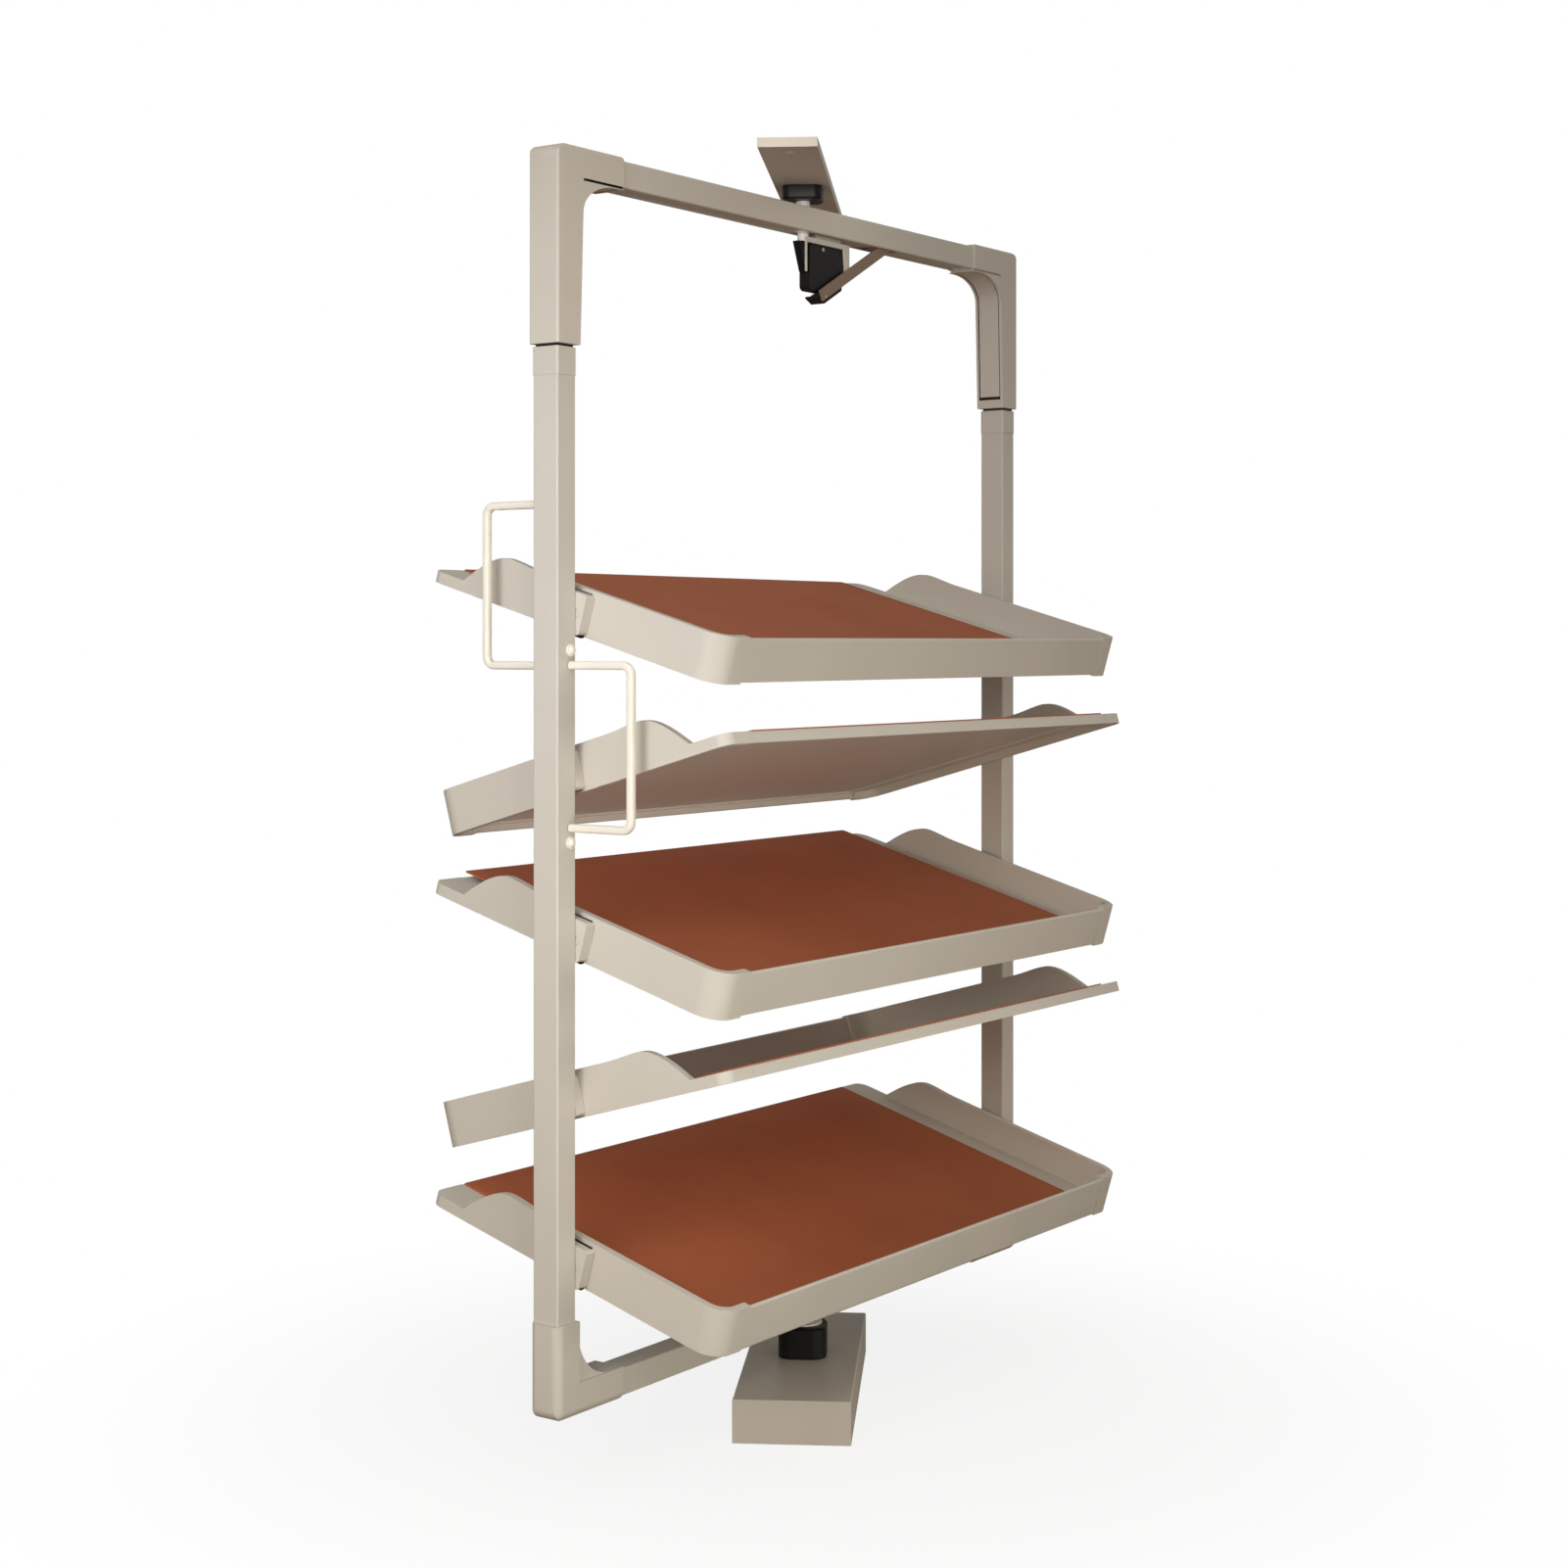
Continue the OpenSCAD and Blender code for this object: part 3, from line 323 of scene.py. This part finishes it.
def top_shape(piece):
    """A longer web and a slimmer leg, and on a connector a wider slit along the bar."""
    side = math.copysign(1, piece.data.vertices[0].co.x)

    def in_web(p):
        x, z = from_corner(p, side, TOP_END)
        return (TOP_LEG - POCKET[0] < x < TOP_LEG + WEB[0] + SLACK
                and LEG - POCKET[1] < z < LEG + WEB[1] + SLACK
                and (z > LEG - HAIR or abs(p.y) < POCKET_HALF))

    def in_slit(p):
        x, z = from_corner(p, side, TOP_END)
        return x > SLIT_START and abs(z - SLIT_LINE) < SLIT_HALF and abs(p.y) > SLIT_FLOOR

    adjusted(piece, in_web, (side * (OUTER - TOP_LEG), 0, TOP_END - LEG),
             (TOP_WEB[0] / WEB[0], 1, TOP_WEB[1] / WEB[1]), (side * SLIMMER, 0, 0))
    adjusted(piece, in_slit, (0, 0, TOP_END - SLIT_LINE), (1, 1, SLIT_SPREAD))


def low_shape(piece):
    """A higher web, and every outer edge rounded off."""
    side = math.copysign(1, piece.data.vertices[0].co.x)
    end = min(v.co.z for v in piece.data.vertices)

    def in_web(p):
        x, z = from_corner(p, side, end)
        return (LEG - HAIR < x < LEG + WEB[0] + SLACK and LEG - HAIR < z < LEG + WEB[1] + SLACK
                and abs(p.y) < LOW_HALF)

    adjusted(piece, in_web, (side * (OUTER - LEG), 0, end + LEG),
             (LOW_WEB[0] / WEB[0], 1, LOW_WEB[1] / WEB[1]))
    bpy.ops.mesh.primitive_cube_add(size=1, location=(
        side * (OUTER + LOW_PROUD - LOW_BLOCK[0] / 2), 0, end - LOW_PROUD + LOW_BLOCK[2] / 2))
    block = bpy.context.object
    bpy.ops.transform.resize(value=LOW_BLOCK)
    bpy.ops.object.transform_apply(location=True, rotation=True, scale=True)
    round_off = block.modifiers.new("round_off", "BEVEL")
    round_off.width = LOW_ROUND
    round_off.segments = LOW_STEPS
    bpy.ops.object.modifier_apply(modifier="round_off")
    bpy.context.view_layer.objects.active = piece
    cut = piece.modifiers.new("cut", "BOOLEAN")
    cut.operation = "INTERSECT"
    cut.solver = "EXACT"
    cut.object = block
    bpy.ops.object.modifier_apply(modifier="cut")
    bpy.data.objects.remove(block)
    bpy.ops.object.select_all(action="DESELECT")
    piece.select_set(True)


# Champagne ABS, a touch warmer and duller than the sprayed tubes.
moulded_abs, shader = finish_of("moulded_abs", "#d8d1c7", "#d0c9be",
                                rough=0.50, grain_mm=1.1, depth_mm=0.03)
shader.inputs["IOR"].default_value = 1.5
for name in ("top_left_corner", "top_right_corner", "left_corner_cover", "right_corner_cover"):
    fit_out(softened(name, CORNER_EDGE, CORNER_STEPS, reshape=top_shape), moulded_abs,
            "turning_rack", "moulding", name)
for name in ("bottom_left_corner", "bottom_right_corner"):
    fit_out(softened(name, CORNER_EDGE, CORNER_STEPS, reshape=low_shape), moulded_abs,
            "turning_rack", "moulding", name)

# Painted shade: where the moulding lies deep or covered, in the left slit, under the strips
# and on the tongues, its faces are made near black, so these show as dark lines.
SHADED_SLIT = (0.0015, 0.0157, 0.0186)  # half height, and from where to where it is deep
SHADED_HALF = 0.01535  # half the width of what the strip covers
SHADED_ACROSS, SHADED_DOWN = (0.031, 0.1035), (LEG - 0.009, 0.1885)
TONGUES = 0.1981  # the tongues begin this far below the top
# A near-black brown that paints the shade into these slits, gaps and covered faces.
painted_shade_abs, shader = finish_of("painted_shade_abs", "#17130f", "#1f1a15",
                             rough=0.6, grain_mm=1.1, depth_mm=0.02)
for name in ("top_left_corner", "top_right_corner"):
    piece = bpy.data.objects[name + "_finished"]
    piece.data.materials.append(painted_shade_abs)
    for face in piece.data.polygons:
        x, z = from_corner(face.center, math.copysign(1, face.center.x), TOP_END)
        wide = max(abs(piece.data.vertices[i].co.y) for i in face.vertices)
        in_slit = (name == "top_left_corner" and x > SLIT_START
                   and abs(z - SLIT_LINE) < SHADED_SLIT[0]
                   and SHADED_SLIT[1] < abs(face.center.y) < SHADED_SLIT[2])
        under_strip = (wide < SHADED_HALF and SHADED_ACROSS[0] < x < SHADED_ACROSS[1]
                       and SHADED_DOWN[0] < z < SHADED_DOWN[1])
        if in_slit or under_strip or z > TONGUES:
            face.material_index = 1


# ---- Moulded tray ends ----
# Champagne ABS again. Each end is one moulding: a hollow rolled rim that rises to a hump
# and falls to a low lip at the back, with a floor slab and two pegs on its outer side.

TRAYS = range(1, 6)  # from the top
END_EDGE, END_STEPS = 1.1, 3  # rounding in mm, and its facets

for k in TRAYS:
    for side in ("left", "right"):
        name = f"tray_{k}_{side}_end"
        fit_out(softened(name, END_EDGE, END_STEPS), moulded_abs, "turning_rack", "moulding",
                name)


# ---- Tray lips and sheet floors ----
# Pressed sheet with the frame's powder coat. The lip slots between the moulded ends; the
# floor is turned down at the back and screwed to the ends from below.

SHEET_EDGE = 0.45  # mm

for k in TRAYS:
    for part in ("front_lip", "floor"):
        name = f"tray_{k}_{part}"
        fit_out(softened(name, SHEET_EDGE), powder_coat, "turning_rack", "frame_paint", name)


# ---- Leather mats ----
# A cut piece of saddle-brown leather, 1.5 mm thick, lies loose in each tray. Its upper side
# rolls over a little at the cut edge, and the third tray's mat lifts at one corner.

MAT_SIZE = (0.718, 0.37775)
MAT_GRID = (72, 38)
MAT_MID = 0.011625  # of the mat, behind the tray's pivot line
MAT_LOW, MAT_THICK = 0.0121, 0.0015
MAT_CORNER, CORNER_CUTS = 0.003, 4
HELD_RIM = 0.006  # nearer to its edge than this the hide lies flat
WAVE, WAVE_LENGTH = 0.0008, 0.11  # the hide's unevenness
ROLL, ROLL_STEPS, ROLL_ANGLE = 0.0006, 3, 50  # rolled edge
LIFTED, LIFT, LIFT_REACH, LIFT_CORNER = 3, 0.006, 0.11, 0.012
TRAY_LOW, TRAY_STEP = 0.211, 0.163  # pivot line of the lowest tray, and the spacing
TILT = math.radians(16)


def pivot_line(k):
    """Height of a tray's pivot line."""
    return TRAY_LOW + (TRAYS[-1] - k) * TRAY_STEP


# Full-grain leather: pebbles of about 1.2 mm with creases between them, in two browns.
PEBBLE_MM, PORE_MM, CREASE = 1.2, 3.5, 0.00012
leather = bpy.data.materials.new("saddle_leather")
leather.use_nodes = True
tree = leather.node_tree
shader = tree.nodes["Principled BSDF"]
place = add_node(tree, "ShaderNodeTexCoord").outputs["Object"]
clouds = add_node(tree, "ShaderNodeTexNoise",
                  {"Vector": place, "Scale": 5, "Detail": 4, "Roughness": 0.55})
tone = add_node(tree, "ShaderNodeMix",
                {"Factor": clouds.outputs[0], FIRST: linear("#a85c3d"),
                 SECOND: linear("#c2714d")}, data_type="RGBA")
pebbles = add_node(tree, "ShaderNodeTexVoronoi", {"Vector": place, "Scale": 1000 / PEBBLE_MM},
                   feature="DISTANCE_TO_EDGE")
pores = add_node(tree, "ShaderNodeTexNoise",
                 {"Vector": place, "Scale": 1000 / PORE_MM, "Detail": 3})
skin = add_node(tree, "ShaderNodeMath", {0: pebbles.outputs[0], 1: pores.outputs[0]},
                operation="ADD")
bump = add_node(tree, "ShaderNodeBump",
                {"Height": skin.outputs[0], "Strength": 0.5, "Distance": CREASE})
sheen = add_node(tree, "ShaderNodeMapRange",
                 {"Value": pores.outputs[0], "To Min": 0.56, "To Max": 0.72})
tree.links.new(tone.outputs[2], shader.inputs["Base Color"])
tree.links.new(sheen.outputs[0], shader.inputs["Roughness"])
tree.links.new(bump.outputs[0], shader.inputs["Normal"])
shader.inputs["Specular IOR Level"].default_value = 0.15

bpy.ops.mesh.primitive_grid_add(x_subdivisions=MAT_GRID[0], y_subdivisions=MAT_GRID[1], size=1)
mat = bpy.context.object
mat.name = "leather_mat"
bpy.ops.object.mode_set(mode="EDIT")
bpy.ops.mesh.select_all(action="SELECT")
bpy.ops.transform.resize(value=(*MAT_SIZE, 1), center_override=(0, 0, 0))
bpy.ops.mesh.select_all(action="DESELECT")
bpy.ops.object.mode_set(mode="OBJECT")
for v in mat.data.vertices:
    v.select = (abs(v.co.x) > MAT_SIZE[0] / 2 - HAIR and abs(v.co.y) > MAT_SIZE[1] / 2 - HAIR)
bpy.ops.object.mode_set(mode="EDIT")
bpy.ops.mesh.bevel(offset=MAT_CORNER, segments=CORNER_CUTS, affect="VERTICES")
bpy.ops.mesh.select_all(action="SELECT")
bpy.ops.mesh.extrude_region_move(TRANSFORM_OT_translate={"value": (0, 0, MAT_THICK)})
bpy.ops.object.mode_set(mode="OBJECT")
upper = mat.vertex_groups.new(name="upper")
upper.add([v.index for v in mat.data.vertices
           if v.co.z > MAT_THICK / 2 and abs(v.co.x) < MAT_SIZE[0] / 2 - HELD_RIM
           and abs(v.co.y) < MAT_SIZE[1] / 2 - HELD_RIM], 1, "REPLACE")
hide_lie = bpy.data.textures.new("hide_lie", "CLOUDS")
hide_lie.noise_scale = WAVE_LENGTH
lie = mat.modifiers.new("lie", "DISPLACE")
lie.texture = hide_lie
lie.vertex_group = "upper"
lie.direction = "Z"
lie.mid_level = 0.5
lie.strength = WAVE
bpy.ops.object.modifier_apply(modifier="lie")
roll = mat.modifiers.new("roll", "BEVEL")
roll.width = ROLL
roll.segments = ROLL_STEPS
roll.limit_method = "ANGLE"
roll.angle_limit = math.radians(ROLL_ANGLE)
bpy.ops.object.modifier_apply(modifier="roll")
bpy.ops.object.mode_set(mode="EDIT")
bpy.ops.mesh.select_all(action="SELECT")
bpy.ops.mesh.normals_make_consistent(inside=False)
bpy.ops.object.mode_set(mode="OBJECT")
bpy.ops.object.shade_smooth_by_angle(angle=math.radians(ROLL_ANGLE))

for k in TRAYS:
    bpy.ops.object.select_all(action="DESELECT")
    mat.select_set(True)
    bpy.context.view_layer.objects.active = mat
    bpy.ops.object.duplicate()
    laid = bpy.context.object
    laid.name = f"tray_{k}_leather"
    if k == LIFTED:
        for v in laid.data.vertices:
            v.select = (v.co.x < -MAT_SIZE[0] / 2 + LIFT_CORNER
                        and v.co.y > MAT_SIZE[1] / 2 - LIFT_CORNER)
        bpy.ops.object.mode_set(mode="EDIT")
        bpy.ops.transform.translate(value=(0, 0, LIFT), use_proportional_edit=True,
                                    proportional_edit_falloff="SMOOTH",
                                    proportional_size=LIFT_REACH)
        bpy.ops.object.mode_set(mode="OBJECT")
    turn = (Matrix.Rotation(math.pi if k % 2 == 0 else 0, 4, "Z")
            @ Matrix.Rotation(TILT, 4, "X"))
    laid.matrix_world = (Matrix.Translation((0, 0, pivot_line(k))) @ turn
                         @ Matrix.Translation((0, MAT_MID, MAT_LOW)))
    bpy.ops.object.transform_apply(location=True, rotation=True, scale=True)
    fit_out(laid, leather, "turning_rack", "leather", f"tray_{k}_mat")
bpy.data.objects.remove(mat)


# ---- Handles and their screws ----
# A steel bar about 8.2 mm square with well rounded edges, bent to a U and dipped in cream
# paint. Each end has a flat lug, held to the left post by one low screw.

ROD_X, FACE = -0.4275, 0.016  # line of the bar, and the post's face
ROD_SIDE, ROD_ROUND, ROD_STEPS = 0.0082, 0.0029, 5
HALF, ARM = 0.08075, 0.06575  # half the height between the arms, and an arm's length
BEND, BEND_STEPS = 0.0095, 8
LUG_W, LUG_T, LUG_REACH = 0.0125, 0.0025, 0.015
LUG_FACETS, LUG_EDGE, LUG_STEPS = 40, 0.0006, 2
ROD_SMOOTH = 42  # degrees
FRONT_Z, REAR_Z = 0.750, 0.911  # middle of each handle

# Dipped paint over steel: cream, smooth and half glossy.
cream_coat, shader = finish_of("cream_coat", "#fbf4e9", "#f4ebdc",
                               rough=0.34, grain_mm=2.2, depth_mm=0.03)
shader.inputs["IOR"].default_value = 1.48

bpy.ops.mesh.primitive_circle_add(vertices=4, radius=ROD_SIDE / math.sqrt(2),
                                  location=(ROD_X, -FACE - LUG_T / 2, FRONT_Z - HALF),
                                  rotation=(math.pi / 2, 0, 0))
bpy.ops.object.transform_apply(location=True, rotation=True, scale=True)
front = bpy.context.object
bpy.ops.object.mode_set(mode="EDIT")
bpy.ops.mesh.select_all(action="SELECT")
bpy.ops.transform.rotate(value=math.pi / 4, orient_axis="Y",
                         center_override=(ROD_X, 0, FRONT_Z - HALF))
bpy.ops.mesh.bevel(offset=ROD_ROUND, segments=ROD_STEPS, affect="VERTICES")
bpy.ops.mesh.select_all(action="SELECT")
bpy.ops.mesh.edge_face_add()
arm = ARM + LUG_T / 2
bend_y = -FACE - LUG_T - ARM
bpy.ops.mesh.extrude_region_move(TRANSFORM_OT_translate={"value": (0, -arm, 0)})
bpy.ops.mesh.spin(steps=BEND_STEPS, angle=math.pi / 2, axis=(1, 0, 0),
                  center=(ROD_X, bend_y, FRONT_Z - HALF + BEND))
bpy.ops.mesh.extrude_region_move(
    TRANSFORM_OT_translate={"value": (0, 0, 2 * HALF - 2 * BEND)})
bpy.ops.mesh.spin(steps=BEND_STEPS, angle=math.pi / 2, axis=(1, 0, 0),
                  center=(ROD_X, bend_y, FRONT_Z + HALF - BEND))
bpy.ops.mesh.extrude_region_move(TRANSFORM_OT_translate={"value": (0, arm, 0)})
bpy.ops.object.mode_set(mode="OBJECT")
lugs = []
for way in (-1, 1):
    bpy.ops.mesh.primitive_cylinder_add(
        vertices=LUG_FACETS, radius=LUG_W / 2, depth=LUG_T, rotation=(math.pi / 2, 0, 0),
        location=(ROD_X, -FACE - LUG_T / 2, FRONT_Z + way * HALF))
    bpy.ops.object.transform_apply(location=True, rotation=True, scale=True)
    lug = bpy.context.object
    for v in lug.data.vertices:
        v.select = way * (v.co.z - FRONT_Z - way * HALF) > HAIR
    bpy.ops.object.mode_set(mode="EDIT")
    bpy.ops.transform.translate(value=(0, 0, way * LUG_REACH))
    bpy.ops.mesh.select_all(action="SELECT")
    bpy.ops.mesh.normals_make_consistent(inside=False)
    bpy.ops.object.mode_set(mode="OBJECT")
    rim = lug.modifiers.new("rim", "BEVEL")
    rim.width = LUG_EDGE
    rim.segments = LUG_STEPS
    rim.limit_method = "ANGLE"
    bpy.ops.object.modifier_apply(modifier="rim")
    lugs.append(lug)
bpy.ops.object.select_all(action="DESELECT")
for piece in (*lugs, front):
    piece.select_set(True)
bpy.context.view_layer.objects.active = front
bpy.ops.object.join()
front.name = "front_handle_bent"
bpy.ops.object.mode_set(mode="EDIT")
bpy.ops.mesh.select_all(action="SELECT")
bpy.ops.mesh.normals_make_consistent(inside=False)
bpy.ops.object.mode_set(mode="OBJECT")
bpy.ops.object.shade_smooth_by_angle(angle=math.radians(ROD_SMOOTH))
bpy.ops.object.duplicate()
rear = bpy.context.object
rear.name = "rear_handle_bent"
bpy.ops.object.mode_set(mode="EDIT")
bpy.ops.mesh.select_all(action="SELECT")
bpy.ops.transform.resize(value=(1, -1, 1), center_override=(0, 0, 0))
bpy.ops.transform.translate(value=(0, 0, REAR_Z - FRONT_Z))
bpy.ops.mesh.normals_make_consistent(inside=False)
bpy.ops.object.mode_set(mode="OBJECT")
fit_out(front, cream_coat, "turning_rack", "handle_paint", "front_handle")
fit_out(rear, cream_coat, "turning_rack", "handle_paint", "rear_handle")
# The handles' screws are dipped with them.
fit_out(softened("handle_screws", edge_mm=0.4), cream_coat, "turning_rack", "steel",
        "handle_screws")


# ---- Tray brackets, their pads and screws ----
# Sprayed steel blocks between the posts and the trays. A black rubber pad lies in a pocket
# of each, and two screws hold the block to the post.

PAD_MID = 0.023  # middle of a pad above the foot of its tray
BRACKET_HALF = 0.021  # half the height of a bracket
PULLED_IN = 0.0033  # how far one end of each pad is pulled into its pocket


def one_end_in(piece):
    """Each pad shows at one end only: at the lower one on trays 1, 3 and 5, else above."""
    for k in TRAYS:
        way = 1 if k % 2 else -1
        up = Vector((0, -way * math.sin(TILT), math.cos(TILT)))
        middle = Vector((0, 0, pivot_line(k))) + up * PAD_MID
        adjusted(piece, lambda p: BRACKET_HALF < way * (p - middle).dot(up) < 2 * BRACKET_HALF,
                 move=up * (-way * PULLED_IN))


for name in ("left_tray_brackets", "right_tray_brackets"):
    fit_out(softened(name, edge_mm=0.5), powder_coat, "turning_rack", "frame_paint", name)
# Moulded rubber: black, dull and nearly without shine.
black_rubber, shader = finish_of("black_rubber", "#0c0c0d", "#121213",
                                 rough=0.6, grain_mm=0.9, depth_mm=0.02)
shader.inputs["IOR"].default_value = 1.5
fit_out(softened("bracket_pads", edge_mm=0.5, reshape=one_end_in), black_rubber,
        "turning_rack", "black_plastic", "bracket_pads")
# Nickel-plated steel: grey, and dull rather than bright.
nickel, shader = finish_of("nickel_plate", "#d6d1c6", "#c8c3b8",
                           rough=0.34, grain_mm=0.8, depth_mm=0.01)
shader.inputs["Metallic"].default_value = 0.9
for name in ("bracket_screws", "tray_screws"):
    fit_out(softened(name, edge_mm=0.2), nickel, "turning_rack", "steel", name)


# ---- Base: beam, floor plate and lower pivot ----
# The beam is a folded sheet cover with the frame's powder coat, over a steel floor plate
# with a socket for the spindle. The pivot housing is black nylon with a satin skin.

# Moulded nylon: near black, with a soft wide highlight.
black_nylon, shader = finish_of("black_nylon", "#060607", "#0b0b0d",
                                rough=0.42, grain_mm=0.7, depth_mm=0.015)
shader.inputs["IOR"].default_value = 1.4
# Turned steel, left bare: very pale, and satin rather than a mirror.
turned_steel, shader = finish_of("turned_steel", "#fbfbf8", "#f0f0ec",
                                 rough=0.35, grain_mm=0.5, depth_mm=0.01)
shader.inputs["Metallic"].default_value = 0.35
fit_out(softened("base_beam", edge_mm=0.8), powder_coat, "fixed_mounting", "frame_paint",
        "base_beam")
fit_out(softened("floor_plate", edge_mm=0.3), nickel, "fixed_mounting", "steel", "floor_plate")
fit_out(softened("lower_pivot_housing", edge_mm=1.2, segments=3), black_nylon,
        "fixed_mounting", "black_plastic", "lower_pivot_housing")
for name in ("lower_spindle", "thrust_washer"):
    fit_out(softened(name, edge_mm=0.3), turned_steel, "fixed_mounting", "steel", name)
fit_out(softened("lower_bush", edge_mm=0.3), black_nylon, "turning_rack", "bush_plastic",
        "lower_bush")


# ---- Ceiling strip and upper pivot ----
# A flat bar with the powder coat is screwed to the panel above. It carries a black nylon
# bearing block, in which the white spindle of the top bar runs.

fit_out(softened("ceiling_strip", edge_mm=0.6), powder_coat, "fixed_mounting", "frame_paint",
        "ceiling_strip")
fit_out(softened("upper_bearing_block", edge_mm=1.0, segments=3), black_nylon,
        "fixed_mounting", "black_plastic", "upper_bearing_block")
# White zinc plate: what shows of the spindle above and below the bar is white and even.
white_zinc, shader = finish_of("white_zinc", "#fffffd", "#f6f6f3",
                               rough=0.4, grain_mm=0.5, depth_mm=0.01)
for name in ("upper_spindle", "upper_bush"):
    fit_out(softened(name, edge_mm=0.4), white_zinc, "turning_rack", "steel", name)


# ---- Case, bracket, stay and clip under the top bar ----
# A black nylon case hangs in a bent sheet bracket. A flat stay runs past its front side
# from the bar to the case's lower end, where a black clip is pinned to it.

STRIP_WIDTH = 0.0055  # of the bracket's front strip, and a little


def thinner_strip(piece):
    """The bracket's front strip, half as wide as in the solid."""
    near = min(v.co.x for v in piece.data.vertices)
    adjusted(piece, lambda p: p.x < near + STRIP_WIDTH, (near, 0, 0), (0.5, 1, 1))


fit_out(softened("pivot_case", edge_mm=0.8), black_nylon, "turning_rack", "black_plastic",
        "pivot_case")
fit_out(softened("case_bracket", edge_mm=0.3, reshape=thinner_strip), powder_coat,
        "turning_rack", "frame_paint", "case_bracket")
# The stay has the umber of the strip's shaded side, a painted shade, and is duller than the tubes.
painted_shade_umber, shader = finish_of("painted_shade_umber", "#94806f", "#867363",
                               rough=0.5, grain_mm=1.6, depth_mm=0.04)
shader.inputs["IOR"].default_value = 1.46
fit_out(softened("case_stay", edge_mm=0.3), painted_shade_umber, "turning_rack", "frame_paint",
        "case_stay")
fit_out(softened("stay_clip", edge_mm=0.5), black_nylon, "turning_rack", "black_plastic",
        "stay_clip")
fit_out(softened("case_bolts", edge_mm=0.25), nickel, "turning_rack", "steel", "case_bolts")


bpy.context.view_layer.update()
